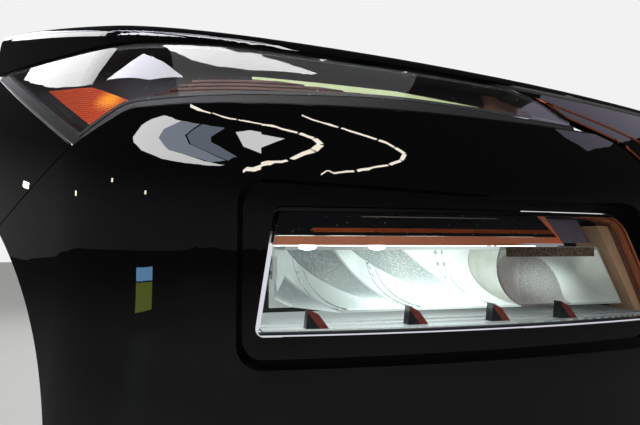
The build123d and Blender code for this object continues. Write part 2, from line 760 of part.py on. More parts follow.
def make_levelling_frame():
    """Frame that carries the reflectors, with ears and pins at both ends."""
    right_top, right_low = CHAMBER_END
    front = -CHAMBER_BACK
    back = front - FRAME_WALL
    ear_low = PIVOT_HEIGHT - EAR_SIZE / 2
    ear_high = PIVOT_HEIGHT + EAR_SIZE / 2
    plate = prism(
        LAMP_PLANE,
        [
            (CHAMBER_START - EAR_WALL, CHAMBER_BOTTOM), (CHAMBER_START - EAR_WALL, FRAME_TOP),
            (right_top - FRAME_CORNER, FRAME_TOP), (right_top, CHAMBER_TOP),
            (RIGHT_EAR + EAR_WALL, ear_high), (RIGHT_EAR + EAR_WALL, ear_low), (right_low, CHAMBER_BOTTOM),
        ],
        0, front, back,
    )
    left_ear = lamp_box(
        (CHAMBER_START - EAR_WALL, CHAMBER_START), (ear_low, ear_high), (back, EAR_SIZE / 2 - PIVOT_BACK)
    )
    right_ear = lamp_box(
        (RIGHT_EAR, RIGHT_EAR + EAR_WALL), (ear_low, ear_high), (back, EAR_SIZE / 2 - PIVOT_BACK)
    )
    left_pin = lamp_pin(LEFT_PIN, CHAMBER_START - EAR_WALL + BITE, PIN_RADIUS)
    right_pin = lamp_pin(RIGHT_EAR + EAR_WALL - BITE, RIGHT_PIN + PIN_LENGTH, PIN_RADIUS)
    write(joined(plate, left_ear, right_ear, left_pin, right_pin), "levelling_frame")


def make_heat_sink(number):
    """Finned cooler behind the frame for one light source."""
    left = chamber_middle(number) - SINK_WIDTH / 2
    front = -CHAMBER_BACK - FRAME_WALL
    fins = [lamp_box((left, left + SINK_WIDTH), SINK_HEIGHTS, (front - SINK_PLATE, front))]
    for fin in range(FIN_COUNT):
        edge = left + fin * (SINK_WIDTH - FIN_WALL) / (FIN_COUNT - 1)
        fins.append(lamp_box((edge, edge + FIN_WALL), SINK_HEIGHTS, (front - SINK_DEPTH, front - BITE)))
    write(joined(*fins), f"heat_sink_{number + 1}")


def make_back_units():
    """Boxes outside the lamps: levelling motor, light driver and the connectors."""
    back = -HOUSING_BACK
    rear = back - MOTOR_DEPTH
    motor = joined(
        lamp_box(MOTOR_RANGE, MOTOR_HEIGHTS, (rear, back)),
        lamp_box(SOCKET_RANGE, SOCKET_HEIGHTS, (rear - SOCKET_DEPTH, rear + BITE)),
    )
    write(motor, "levelling_motor")
    driver_low = LENS_BOTTOM - DRIVER_HEIGHT
    driver = lamp_box(DRIVER_RANGE, (driver_low, LENS_BOTTOM), (DRIVER_BACK, DRIVER_FRONT))
    write(driver, "led_driver")


def make_flange():
    """Rear flange of the carrier, with its four bolt holes."""
    with BuildPart() as flange:
        with BuildSketch(Plane.XZ):
            RectangleRounded(FLANGE_WIDTH, FLANGE_HEIGHT, FLANGE_CORNER)
            with GridLocations(BOLT_SPACING_X, BOLT_SPACING_Z, 2, 2):
                Circle(BOLT_RADIUS, mode=Mode.SUBTRACT)
        extrude(amount=FLANGE_WALL)
    return flange.part


def make_post(place):
    """Round post on the carrier's shelf, under one bonnet stop."""
    with BuildPart() as post:
        with BuildSketch(Plane.XY.offset(SHELF_TOP - BITE)):
            with Locations(place):
                Circle(POST_RADIUS)
        extrude(amount=POST_TOP - SHELF_TOP + BITE)
    return post.part


def make_plate_ribs(plate_rear):
    """Stiffening ribs on the rear face of the carrier's plate."""
    depth = (plate_rear - RIB_DEPTH, plate_rear + BITE)
    (left, low), high, right = PLATE_OUTLINE[0], PLATE_OUTLINE[1][1], PLATE_OUTLINE[4][0]
    heights = (low + RIB_MARGIN, high - RIB_MARGIN)
    length = (left + RIB_MARGIN, right - RIB_MARGIN)
    upright = [lamp_box((a - RIB_WALL / 2, a + RIB_WALL / 2), heights, depth) for a in UPRIGHT_RIBS]
    level = [lamp_box(length, (z - RIB_WALL / 2, z + RIB_WALL / 2), depth) for z in LEVEL_RIBS]
    return [*upright, *level]


def make_carrier():
    """Bolted bracket that holds the lamps and panels off the car's front end."""
    plate_rear = -PLATE_BACK - PLATE_WALL
    plate = prism(LAMP_PLANE, PLATE_OUTLINE, PLATE_CORNER, -PLATE_BACK, plate_rear)
    window = prism(LAMP_PLANE, PLATE_WINDOW, PLATE_CORNER)
    behind_plate = lamp_box((-FAR, FAR), (-FAR, FAR), (-2 * FAR, plate_rear + BITE))
    flange_front = BITE - FLANGE_WALL
    half = ARM_WIDTH / 2
    top = ARM_HEIGHT / 2
    arm_outer = block((-half, -FAR, -top), (half, flange_front, top))
    arm_inner = block((ARM_WALL - half, -FAR, -FAR), (half - ARM_WALL, -FLANGE_WALL, top - ARM_WALL))
    arm = cut_to(without(arm_outer, arm_inner), behind_plate)
    panel_inside = nose(BUMPER_WALL + SEAT_GAP)
    side_outer = block((-FAR, -SIDE_ARM_DEPTH, SIDE_ARM_LOW), (BITE - half, flange_front, SIDE_ARM_HIGH))
    side_inner = block(
        (-FAR, ARM_WALL - SIDE_ARM_DEPTH, -FAR),
        (-FLANGE_WIDTH / 2, flange_front - ARM_WALL, SIDE_ARM_HIGH - ARM_WALL),
    )
    side = cut_to(without(side_outer, side_inner), panel_inside)
    shelf = lamp_box(SHELF_RANGE, (SHELF_TOP - PLATE_WALL, SHELF_TOP), (plate_rear, -SHELF_FRONT))
    low = PLATE_OUTLINE[0][1]
    low_arm = cut_to(
        lamp_box(LOW_ARM_RANGE, (low, low + ARM_WALL), (plate_rear, LOW_ARM_FRONT)), panel_inside
    )
    posts = [make_post(place) for place in STOP_PLACES]
    ribs = make_plate_ribs(plate_rear)
    arms = [arm, side, shelf, low_arm]
    write(joined(make_flange(), without(plate, window), *arms, *posts, *ribs), "corner_carrier")


def make_liner():
    """Inner liner of the wheel arch, seated on the lip of the wing."""
    radius = ARCH_RADIUS + BUMPER_WALL + SEAT_GAP
    lowest = CLADDING_BOTTOM + BUMPER_WALL + SEAT_GAP
    space = block((-FAR, -FAR, lowest), (LINER_INNER, REAR_CUT, FAR))
    ring = without(arch(radius + LINER_WALL), arch(radius))
    return cut_to(ring, space, nose(FLANGE_DEPTH + SEAT_GAP))


def make_cladding():
    """Unpainted lower edge of the bumper, with a lip turned in under it."""
    space = block((-FAR, -FAR, CLADDING_BOTTOM), (INNER_CUT, REAR_CUT, BUMPER_BOTTOM - SEAT_GAP))
    space = without(space, arch(ARCH_RADIUS))
    core = cut_to(nose(BUMPER_WALL), block((-FAR, -FAR, CLADDING_BOTTOM + BUMPER_WALL), (FAR, FAR, FAR)))
    return without(cut_to(nose(0), space), core, nose(CLADDING_LIP))


def main():
    """Build and write every piece."""
    write(make_wing(), "wing_front")
    write(make_bumper(), "bumper_corner")
    write(make_header(), "grille_header")
    write(make_grille_trim(), "grille_trim")
    write(make_bonnet(), "bonnet_corner")
    write(make_bonnet_frame(), "bonnet_frame")
    for number, place in enumerate(STOP_PLACES):
        write(make_bump_stop(place), f"bump_stop_{number + 1}")
    make_upper_lamp()
    make_main_shell()
    make_main_bezels()
    for number in range(len(BLADES)):
        make_reflector(number)
        make_led_unit(number)
        make_heat_sink(number)
    make_levelling_frame()
    make_back_units()
    make_carrier()
    write(make_liner(), "arch_liner")
    write(make_cladding(), "lower_cladding")


main()
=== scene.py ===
"""Looks of a vehicle's right front corner with split headlamps."""

import logging
import math
from collections.abc import Callable, Iterator
from contextlib import contextmanager
from dataclasses import dataclass
from enum import Enum

import bpy
from mathutils import Matrix, Vector


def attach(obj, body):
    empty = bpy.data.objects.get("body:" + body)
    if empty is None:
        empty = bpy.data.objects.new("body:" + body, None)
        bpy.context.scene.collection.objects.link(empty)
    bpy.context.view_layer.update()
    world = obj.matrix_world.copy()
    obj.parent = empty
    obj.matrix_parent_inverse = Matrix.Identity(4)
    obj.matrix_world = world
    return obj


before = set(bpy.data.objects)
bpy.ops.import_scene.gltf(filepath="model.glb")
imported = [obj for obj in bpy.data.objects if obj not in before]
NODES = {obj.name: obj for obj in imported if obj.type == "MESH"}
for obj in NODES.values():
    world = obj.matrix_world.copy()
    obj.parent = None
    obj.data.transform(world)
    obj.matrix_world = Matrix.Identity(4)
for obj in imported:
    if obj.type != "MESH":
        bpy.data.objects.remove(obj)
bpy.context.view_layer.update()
LOG = logging.getLogger("front_corner")

MM = 0.001
UP = Vector((0.0, 0.0, 1.0))

Socket = bpy.types.NodeSocket
Pair = tuple[float, float]
Cut = tuple[Vector, Vector]
FaceTest = Callable[[bpy.types.MeshPolygon], bool]


class Body(Enum):
    """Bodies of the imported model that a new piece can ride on."""

    CORNER = "corner"
    LEVELLING = "levelling_unit"


def linear(code: str) -> tuple[float, float, float, float]:
    """Turn an sRGB hex colour into linear values.

    Args:
        code: six hex digits after a hash.

    Returns:
        Red, green, blue and an alpha of one.
    """
    values = [int(code[place:place + 2], 16) / 255 for place in (1, 3, 5)]
    red, green, blue = (v / 12.92 if v <= 0.04045 else ((v + 0.055) / 1.055) ** 2.4 for v in values)
    return (red, green, blue, 1.0)


class Graph:
    """The nodes of a material or of the world."""

    def __init__(self, tree: bpy.types.NodeTree) -> None:
        self.tree = tree
        tree.nodes.clear()

    def feed(self, entry: Socket, value: object) -> None:
        """Link another node's output to an input, or set the input's own value."""
        if isinstance(value, Socket):
            self.tree.links.new(value, entry)
        else:
            entry.default_value = value

    def add(self, kind: str, inputs: dict | None = None, **settings: str) -> bpy.types.Node:
        """Add one node with its settings and links.

        Args:
            kind: the node's type name after ShaderNode.
            inputs: a value or another node's output for each input, by its name or number.
            settings: the node's own settings.

        Returns:
            The new node.
        """
        node = self.tree.nodes.new("ShaderNode" + kind)
        for name, value in settings.items():
            setattr(node, name, value)
        for name, value in (inputs or {}).items():
            self.feed(node.inputs[name], value)
        return node

    def times(self, mask: Socket, *others: Socket) -> Socket:
        """Multiply masks."""
        for other in others:
            mask = self.add("Math", {0: mask, 1: other}, operation="MULTIPLY").outputs[0]
        return mask

    def most(self, mask: Socket, *others: Socket) -> Socket:
        """Take the strongest of some masks."""
        for other in others:
            mask = self.add("Math", {0: mask, 1: other}, operation="MAXIMUM").outputs[0]
        return mask

    def band(self, value: Socket, low: float | None, high: float | None, blur: float) -> Socket:
        """Make a mask that is one between two values and fades to none outside them.

        Args:
            value: what is compared.
            low: where the band starts, or None where it has no start.
            high: where it ends, or None where it has no end.
            blur: how far each edge fades.

        Returns:
            The mask.
        """
        edges = []
        for edge, start, end in ((low, 0.0, 1.0), (high, 1.0, 0.0)):
            if edge is None:
                continue
            fade = self.add("MapRange", {
                "Value": value, "From Min": edge - blur / 2, "From Max": edge + blur / 2, "To Min": start,
                "To Max": end,
            }, interpolation_type="SMOOTHSTEP")
            edges.append(fade.outputs[0])
        return self.times(*edges)

    def ellipse(self, vector: Socket, centre: Pair, radii: Pair) -> Socket:
        """Measure how far a point of a face lies from a centre, in shares of an ellipse's radii.

        Args:
            vector: the place in a face's own directions, in millimetres.
            centre: the ellipse's centre, along the face and up.
            radii: its radii, along the face and up.

        Returns:
            The share, which is one on the ellipse.
        """
        (along, up), (wide, high) = centre, radii
        scaled = self.add("Mapping", {
            "Location": (-along / wide, 0.0, -up / high), "Scale": (1 / wide, 0.0, 1 / high),
            "Vector": vector,
        })
        return self.add("VectorMath", {0: scaled.outputs[0]}, operation="LENGTH").outputs["Value"]


@dataclass(frozen=True)
class Facing:
    """Upright directions that a group of pieces is laid out in, as in the CAD.

    turn is the angle in degrees from straight ahead, and the centre is in millimetres. Places are
    millimetres along the face towards the car's centre line, up, and out of the face.
    """

    turn: float
    centre_x: float = 0.0
    centre_y: float = 0.0

    @property
    def angle(self) -> float:
        """The turn in radians."""
        return math.radians(self.turn)

    @property
    def along(self) -> Vector:
        """Unit direction along the face, towards the car's centre line."""
        return Vector((math.cos(self.angle), -math.sin(self.angle), 0.0))

    @property
    def outward(self) -> Vector:
        """Unit direction out of the face."""
        return Vector((-math.sin(self.angle), -math.cos(self.angle), 0.0))

    def at(self, along: float, up: float, out: float = 0.0) -> Vector:
        """Give a place in the shared frame, in metres."""
        centre = Vector((self.centre_x, self.centre_y, 0.0))
        return (centre + self.along * along + self.outward * out + UP * up) * MM

    def stand(self, along: float, up: float, out: float) -> Matrix:
        """Give the move that stands a piece at a place, turned with the face."""
        return Matrix.Translation(self.at(along, up, out)) @ Matrix.Rotation(-self.angle, 4, "Z")

    def wall(self, start: Pair, end: Pair, inboard: bool) -> Cut:
        """Stand a plane square to the face on a line.

        Args:
            start: where the line starts, along the face and up.
            end: where it ends.
            inboard: whether the plane looks towards the car's centre line.

        Returns:
            A point of the plane and its direction.
        """
        normal = (self.at(*end) - self.at(*start)).cross(self.outward).normalized()
        if (normal.dot(self.along) > 0) != inboard:
            normal = -normal
        return self.at(*start), normal

    def axes(self, graph: Graph, place: Socket) -> dict[str, Socket]:
        """Read a surface's place in this face's own directions.

        Args:
            graph: the material's nodes.
            place: the Object coordinates.

        Returns:
            Outputs named vector, along, back and up, in millimetres. back grows behind the face.
        """
        cosine, sine = math.cos(self.angle), math.sin(self.angle)
        shift = (
            sine * self.centre_y - cosine * self.centre_x,
            -sine * self.centre_x - cosine * self.centre_y,
            0.0,
        )
        turned = graph.add("Mapping", {
            "Scale": (1 / MM, 1 / MM, 1 / MM), "Rotation": (0.0, 0.0, self.angle), "Location": shift,
            "Vector": place,
        }).outputs[0]
        along, back, up = graph.add("SeparateXYZ", {"Vector": turned}).outputs
        return {"vector": turned, "along": along, "back": back, "up": up}

    def normals(self, graph: Graph, normal: Socket) -> dict[str, Socket]:
        """Read which way a surface looks in this face's own directions.

        Args:
            graph: the material's nodes.
            normal: the normal in Object coordinates.

        Returns:
            Outputs named along, back and up.
        """
        turned = graph.add("Mapping", {"Rotation": (0.0, 0.0, self.angle), "Vector": normal}).outputs[0]
        along, back, up = graph.add("SeparateXYZ", {"Vector": turned}).outputs
        return {"along": along, "back": back, "up": up}


CORNER = Facing(46.0)
LAMP = Facing(30.5, -71.3, -277.2)


@dataclass(frozen=True)
class Skin:
    """What a finish works on: nodes, the surface's place and normal, its shader and its colour so far."""

    graph: Graph
    place: Socket
    normal: Socket
    shader: bpy.types.Node
    colour: Socket

    def glow(self, code: str, strength: Socket | float) -> None:
        """Let the surface glow in an sRGB hex colour."""
        self.shader.inputs["Emission Color"].default_value = linear(code)
        self.graph.feed(self.shader.inputs["Emission Strength"], strength)


@dataclass(frozen=True)
class Finish:
    """A surface's material: what it is made of, its colour, its small variation and its relief.

    Lengths are in millimetres. shade is the colour that flecks of the size fleck_mm drift towards,
    by as much as fleck says. relief is the depth of the grain, and wander how far roughness drifts.
    """

    name: str
    colour: str
    roughness: float
    metallic: float = 0.0
    specular: float = 0.5
    ior: float = 1.5
    coat: float = 0.0
    coat_roughness: float = 0.02
    shade: str = "#000000"
    fleck: float = 0.0
    fleck_mm: float = 20.0
    grain_mm: float = 1.0
    relief: float = 0.0
    wander: float = 0.05

    def build(self) -> bpy.types.Material:
        """Make the material.

        Returns:
            The new material.
        """
        material = bpy.data.materials.new(self.name)
        material.use_nodes = True
        graph = Graph(material.node_tree)
        source = graph.add("TexCoord").outputs
        place = source["Object"]
        shader = graph.add("BsdfPrincipled", {
            "Base Color": linear(self.colour), "Metallic": self.metallic, "Roughness": self.roughness,
            "Specular IOR Level": self.specular, "IOR": self.ior, "Coat Weight": self.coat,
            "Coat Roughness": self.coat_roughness,
        })
        flecks = graph.add(
            "TexNoise", {"Scale": 1 / (self.fleck_mm * MM), "Detail": 4.0, "Vector": place}
        ).outputs["Fac"]
        amount = graph.add("MapRange", {"Value": flecks, "To Max": self.fleck * 2}).outputs[0]
        colour = graph.add(
            "MixRGB", {"Fac": amount, "Color1": linear(self.colour), "Color2": linear(self.shade)}
        ).outputs[0]
        smoothest, roughest = max(0.0, self.roughness - self.wander), self.roughness + self.wander
        spread = graph.add(
            "MapRange", {"Value": flecks, "To Min": smoothest, "To Max": roughest}
        ).outputs[0]
        graph.feed(shader.inputs["Roughness"], spread)
        skin = Skin(graph, place, source["Normal"], shader, colour)
        graph.feed(shader.inputs["Base Color"], self.dress(skin))
        if self.relief:
            grain = graph.add(
                "TexNoise", {"Scale": 1 / (self.grain_mm * MM), "Detail": 2.0, "Vector": place}
            ).outputs["Fac"]
            bump = graph.add("Bump", {"Distance": self.relief * MM, "Height": grain}).outputs[0]
            for name in ("Normal", "Coat Normal"):
                if not shader.inputs[name].is_linked:
                    graph.feed(shader.inputs[name], bump)
        graph.add("OutputMaterial", {"Surface": self.close(skin)})
        return material

    def dress(self, skin: Skin) -> Socket:
        """Add what only this finish has, and give the colour to use."""
        return skin.colour

    def close(self, skin: Skin) -> Socket:
        """Give the surface that goes to the output."""
        return skin.shader.outputs[0]


@dataclass(frozen=True)
class ClearPlastic(Finish):
    """Clear moulded plastic that lets lamp light through and carries a little dust."""

    dust_mm: float = 7.0
    dust_share: float = 0.045

    def close(self, skin: Skin) -> Socket:
        """Give the surface, clear for shadows, with pale dust specks.

        Args:
            skin: what the finish works on.

        Returns:
            The surface.
        """
        graph = skin.graph
        skin.shader.inputs["Transmission Weight"].default_value = 1.0
        specks = graph.add(
            "TexVoronoi", {"Scale": 1 / (self.dust_mm * MM), "Randomness": 1.0, "Vector": skin.place}
        ).outputs["Distance"]
        dusty = graph.band(specks, None, self.dust_share, 0.03)
        dust = graph.add("BsdfDiffuse", {"Color": linear("#E8E4DC")}).outputs[0]
        surface = graph.add("MixShader", {0: dusty, 1: skin.shader.outputs[0], 2: dust}).outputs[0]
        clear = graph.add("BsdfTransparent", {"Color": linear(self.colour)}).outputs[0]
        shadow = graph.add("LightPath").outputs["Is Shadow Ray"]
        return graph.add("MixShader", {0: shadow, 1: self.walls(skin, surface), 2: clear}).outputs[0]

    def walls(self, skin: Skin, surface: Socket) -> Socket:
        """Give the surface with its side walls, which are clear unless a lens says otherwise."""
        return surface


@dataclass(frozen=True)
class MainLensPlastic(ClearPlastic):
    """Clear lens with painted light on its outboard and lower edges, a glow for the lamp's light caught in
    them, and masked walls.

    A slope is how far the lens's end moves outboard for each millimetre up. A start is where a
    wall's mask begins, and an edge where the front's does.
    """

    wall_glow: float = 0.75
    outer_slope: float = -14 / 96
    inner_slope: float = 51.9 / 96
    outer_edge: float = -181.2
    outer_top: float = 5.0
    low_start: float = -60.0
    low_edge: float = -62.9
    inner_start: float = 118.0
    inner_edge: float = 155.6
    top_start: float = 20.0
    top_edge: float = 29.4

    def walls(self, skin: Skin, surface: Socket) -> Socket:
        """Paint light on the outboard and lower edges as a glow, and mask the walls.

        Args:
            skin: what the finish works on.
            surface: the clear surface.

        Returns:
            The surface with its edges and walls.
        """
        graph = skin.graph
        where = LAMP.axes(graph, skin.place)
        up = where["up"]
        outer, inner = (
            graph.add("Math", {0: up, 1: slope, 2: where["along"]}, operation="MULTIPLY_ADD").outputs[0]
            for slope in (self.outer_slope, self.inner_slope)
        )
        looks = LAMP.normals(graph, skin.normal)["back"]
        facing = graph.add("Math", {0: looks}, operation="ABSOLUTE").outputs[0]
        wall = graph.band(facing, None, 0.5, 0.1)
        # Painted light: the outboard and lower edges glow, standing in for the lamp's light caught in them.
        lit = graph.most(
            graph.times(
                graph.band(outer, None, self.outer_edge, 0.3), graph.band(up, None, self.outer_top, 2.0)
            ),
            graph.times(graph.band(up, None, self.low_edge, 0.3), graph.band(facing, 0.5, None, 0.1)),
        )
        copper = graph.most(
            graph.times(wall, graph.band(inner, self.inner_start, None, 4.0)),
            graph.band(inner, self.inner_edge, None, 0.3),
        )
        masked = graph.most(
            copper,
            graph.band(up, self.top_edge, None, 0.3),
            graph.times(wall, graph.band(up, self.top_start, None, 1.0)),
            graph.times(wall, graph.band(up, None, self.low_start, 1.0)),
        )
        colour = graph.add(
            "MixRGB", {"Fac": copper, "Color1": linear("#060505"), "Color2": linear("#AC6848")}
        )
        mask = graph.add(
            "BsdfPrincipled", {"Base Color": colour.outputs[0], "Roughness": 0.4, "Specular IOR Level": 0.2}
        ).outputs[0]
        glow = graph.add("Emission", {"Color": linear("#F2F4FF"), "Strength": self.wall_glow}).outputs[0]
        walls = graph.add("MixShader", {0: masked, 1: surface, 2: mask}).outputs[0]
        return graph.add("MixShader", {0: lit, 1: walls, 2: glow}).outputs[0]


@dataclass(frozen=True)
class LitMetal(Finish):
    """Metallised plastic of the reflectors: bright scoops with painted light from their source, and grained
    blades.

    The painted glow, a stand-in for the sources' light, fades from hottest at hot_centre to coolest past
    hot_radii. A bowl is grained on the round wall at wall_centre instead of on its blades.
    """

    glow_colour: str = "#F0FFF8"
    grained: str = "#5A6264"
    grit: str = "#A4AEAC"
    grained_mm: float = 0.9
    grained_relief: float = 0.35
    blade_glow_share: float = 0.34
    hottest: float = 1.1
    coolest: float = 0.26
    hot_centre: Pair = (-31.0, -28.0)
    hot_radii: Pair = (85.0, 38.0)
    bowl: bool = False
    wall_centre: Pair = (66.0, -27.0)
    wall_radii: Pair = (50.0, 28.0)
    # How far a face looks sideways before it counts as a blade's.
    sideways: float = 0.42

    def dress(self, skin: Skin) -> Socket:
        """Grain the blades' sides and paint light on the scoops as a glow.

        Args:
            skin: what the finish works on.

        Returns:
            The colour to use.
        """
        graph = skin.graph
        where = LAMP.axes(graph, skin.place)
        looks = LAMP.normals(graph, skin.normal)["along"]
        if self.bowl:
            near = graph.ellipse(where["vector"], self.wall_centre, self.wall_radii)
            blade = graph.times(
                graph.band(near, None, 1.0, 0.05), graph.band(looks, -self.sideways, None, 0.1)
            )
        else:
            turned = graph.add("Math", {0: looks}, operation="ABSOLUTE").outputs[0]
            blade = graph.band(turned, self.sideways, None, 0.2)
        grit = graph.add(
            "TexNoise", {"Scale": 1 / (self.grained_mm * MM), "Detail": 1.0, "Vector": skin.place}
        ).outputs["Fac"]
        dark = graph.add(
            "MixRGB", {"Fac": grit, "Color1": linear(self.grained), "Color2": linear(self.grit)}
        )
        sparks = graph.band(grit, 0.66, None, 0.06)
        grain = graph.add("MixRGB", {"Fac": sparks, "Color1": dark.outputs[0], "Color2": linear("#FFFFFF")})
        height = graph.times(grit, blade)
        bump = graph.add("Bump", {"Distance": self.grained_relief * MM, "Height": height})
        graph.feed(skin.shader.inputs["Normal"], bump.outputs[0])
        # Painted light: the scoops glow as if lit by their source, hottest at hot_centre, and the blades
        # glow less.
        hot = graph.add("MapRange", {
            "Value": graph.ellipse(where["vector"], self.hot_centre, self.hot_radii), "From Min": 0.1,
            "From Max": 1.5, "To Min": self.hottest, "To Max": self.coolest,
        }, interpolation_type="SMOOTHSTEP").outputs[0]
        dimmed = graph.add(
            "MapRange", {"Value": blade, "To Min": 1.0, "To Max": self.blade_glow_share}
        ).outputs[0]
        skin.glow(self.glow_colour, graph.times(hot, dimmed))
        return graph.add(
            "MixRGB", {"Fac": blade, "Color1": skin.colour, "Color2": grain.outputs[0]}
        ).outputs[0]


@dataclass(frozen=True)
class TwoToneTrim(Finish):
    """Copper-tinted trim under the brow, paler low down on its arm."""

    low: Pair = (-10.0, 5.6)
    pale: Pair = (30.0, 90.0)
    arm_start: float = 60.0
    lit_end: float = -50.0

    def dress(self, skin: Skin) -> Socket:
        """Redden the arm, pale its lower edge and paint a weak glow of light on the trim's outboard part.

        Args:
            skin: what the finish works on.

        Returns:
            The colour to use.
        """
        graph = skin.graph
        where = LAMP.axes(graph, skin.place)
        low = graph.times(
            graph.band(where["up"], *self.low, 0.3), graph.band(where["along"], *self.pale, 20.0)
        )
        # Painted light: a weak glow on the trim's outboard part, nearest the sources.
        lit = graph.band(where["along"], None, self.lit_end, 150.0)
        strength = graph.add("MapRange", {"Value": lit, "To Min": 0.03, "To Max": 0.08}).outputs[0]
        skin.glow("#FFC8A8", strength)
        arm = graph.band(where["along"], self.arm_start, None, 20.0)
        reddened = graph.add(
            "MixRGB", {"Fac": arm, "Color1": skin.colour, "Color2": linear("#C24A20")}
        ).outputs[0]
        return graph.add("MixRGB", {"Fac": low, "Color1": reddened, "Color2": linear("#B8AFC0")}).outputs[0]


@dataclass(frozen=True)
class SteppedLedge(Finish):
    """Metallised ledge with fine steps drawn in painted shade, a painted glow for the sources' light, and
    dark wedges with a red stripe.
    """

    places: tuple[float, ...] = (-146.0, -63.0, 13.0, 81.0)
    # Where the stripe starts and ends on a wedge, as the place that its slanted side meets at no height.
    red: Pair = (-42.5, -35.4)
    slope: float = 0.75
    # Painted shade lines for steps 1 mm apart in depth.
    step_scale: float = 0.31
    wedge_foot: float = -59.3
    wedge_depths: Pair = (-2.4, 7.6)
    # Painted light: a glow that stands in for the sources' light runs over the ledge from here to here, less
    # and less.
    lit: Pair = (-120.0, 150.0)

    def dress(self, skin: Skin) -> Socket:
        """Stripe the steps with painted shade, paint on the sources' light as a glow, and colour the wedges.

        Args:
            skin: what the finish works on.

        Returns:
            The colour to use.
        """
        graph = skin.graph
        where = LAMP.axes(graph, skin.place)
        # Painted shade: a dark line along each fine step, standing in for the shade between steps.
        steps = graph.add(
            "TexWave", {"Scale": self.step_scale, "Distortion": 0.6, "Vector": where["vector"]},
            bands_direction="Y",
        ).outputs["Fac"]
        lines = graph.band(steps, 0.5, None, 0.4)
        shade_striped = graph.add("MixRGB", {"Fac": lines, "Color1": skin.colour, "Color2": linear("#4E5354")})
        wedge = graph.times(
            graph.band(where["up"], self.wedge_foot, None, 0.2),
            graph.band(where["back"], *self.wedge_depths, 0.4),
        )
        dark = graph.add(
            "MixRGB", {"Fac": wedge, "Color1": shade_striped.outputs[0], "Color2": linear("#34383A")}
        )
        slant = graph.add(
            "Math", {0: where["up"], 1: self.slope, 2: where["along"]}, operation="MULTIPLY_ADD"
        ).outputs[0]
        start, end = self.red
        stripe = graph.most(*(graph.band(slant, at + start, at + end, 0.4) for at in self.places))
        front = graph.band(LAMP.normals(graph, skin.normal)["back"], None, -0.7, 0.2)
        first, last = self.lit
        # Painted light: the glow fades inboard, is weaker on the shade lines and is left off the wedges.
        towards = graph.add("MapRange", {
            "Value": where["along"], "From Min": first, "From Max": last, "To Min": 0.5, "To Max": 0.05,
        }, interpolation_type="SMOOTHSTEP").outputs[0]
        bright = graph.add("MapRange", {"Value": wedge, "To Min": 1.0, "To Max": 0.0}).outputs[0]
        dimmed = graph.add("MapRange", {"Value": steps, "To Min": 0.45, "To Max": 1.0}).outputs[0]
        skin.glow("#F4FFFB", graph.times(bright, towards, dimmed))
        red = graph.times(wedge, front, stripe)
        return graph.add(
            "MixRGB", {"Fac": red, "Color1": dark.outputs[0], "Color2": linear("#A05048")}
        ).outputs[0]


@dataclass(frozen=True)
class EndPanelFinish(Finish):
    """Tinted panel at the lamp's inner end, with a paler band and a dark slanted line."""

    slope: float = (192.3 - 140.4) / 96
    pale: Pair = (130.0, 147.0)
    line: Pair = (146.6, 147.6)

    def dress(self, skin: Skin) -> Socket:
        """Draw the band and the line.

        Args:
            skin: what the finish works on.

        Returns:
            The colour to use.
        """
        graph = skin.graph
        where = LAMP.axes(graph, skin.place)
        slant = graph.add(
            "Math", {0: where["up"], 1: self.slope, 2: where["along"]}, operation="MULTIPLY_ADD"
        ).outputs[0]
        band, line = graph.band(slant, *self.pale, 0.8), graph.band(slant, *self.line, 0.4)
        pale = graph.add(
            "MixRGB", {"Fac": band, "Color1": skin.colour, "Color2": linear("#A08064")}
        ).outputs[0]
        return graph.add("MixRGB", {"Fac": line, "Color1": pale, "Color2": linear("#2A1612")}).outputs[0]


@dataclass(frozen=True)
class RibbedAmber(Finish):
    """Amber acrylic with diagonal prisms, and painted light: an orange glow strongest on their crests, and a
    painted hot spot.
    """

    rib_mm: float = 1.6
    rib_relief: float = 0.4
    # The wave texture's scale for diagonal lines one millimetre apart.
    wave_share: float = 0.444
    hot_centre: Pair = (-157.0, 119.5)
    hot_radii: Pair = (20.0, 11.0)

    def dress(self, skin: Skin) -> Socket:
        """Add the prisms, and the painted glow and hot spot.

        Args:
            skin: what the finish works on.

        Returns:
            The colour to use.
        """
        graph = skin.graph
        vector = CORNER.axes(graph, skin.place)["vector"]
        prisms = graph.add(
            "TexWave", {"Scale": self.wave_share / self.rib_mm, "Distortion": 0.0, "Vector": vector},
            bands_direction="DIAGONAL",
        ).outputs["Fac"]
        bump = graph.add("Bump", {"Distance": self.rib_relief * MM, "Height": prisms}).outputs[0]
        graph.feed(skin.shader.inputs["Normal"], bump)
        # Painted light: an orange glow stronger on the prisms' crests, which are also painted a brighter
        # red, and a yellow painted hot spot.
        far = graph.ellipse(vector, self.hot_centre, self.hot_radii)
        hot = graph.add(
            "MapRange", {"Value": far, "To Min": 1.0, "To Max": 0.0}, interpolation_type="SMOOTHSTEP"
        ).outputs[0]
        ribbed = graph.add("MapRange", {"Value": prisms, "To Min": 0.45, "To Max": 1.0}).outputs[0]
        strength = graph.add("MapRange", {"Value": hot, "To Min": 0.16, "To Max": 0.7}).outputs[0]
        skin.glow("#FF6A00", graph.times(strength, ribbed))
        crests = graph.times(ribbed, ribbed)
        red = graph.add(
            "MixRGB", {"Fac": crests, "Color1": skin.colour, "Color2": linear("#F04A0C")}
        ).outputs[0]
        return graph.add("MixRGB", {"Fac": hot, "Color1": red, "Color2": linear("#FFB41E")}).outputs[0]


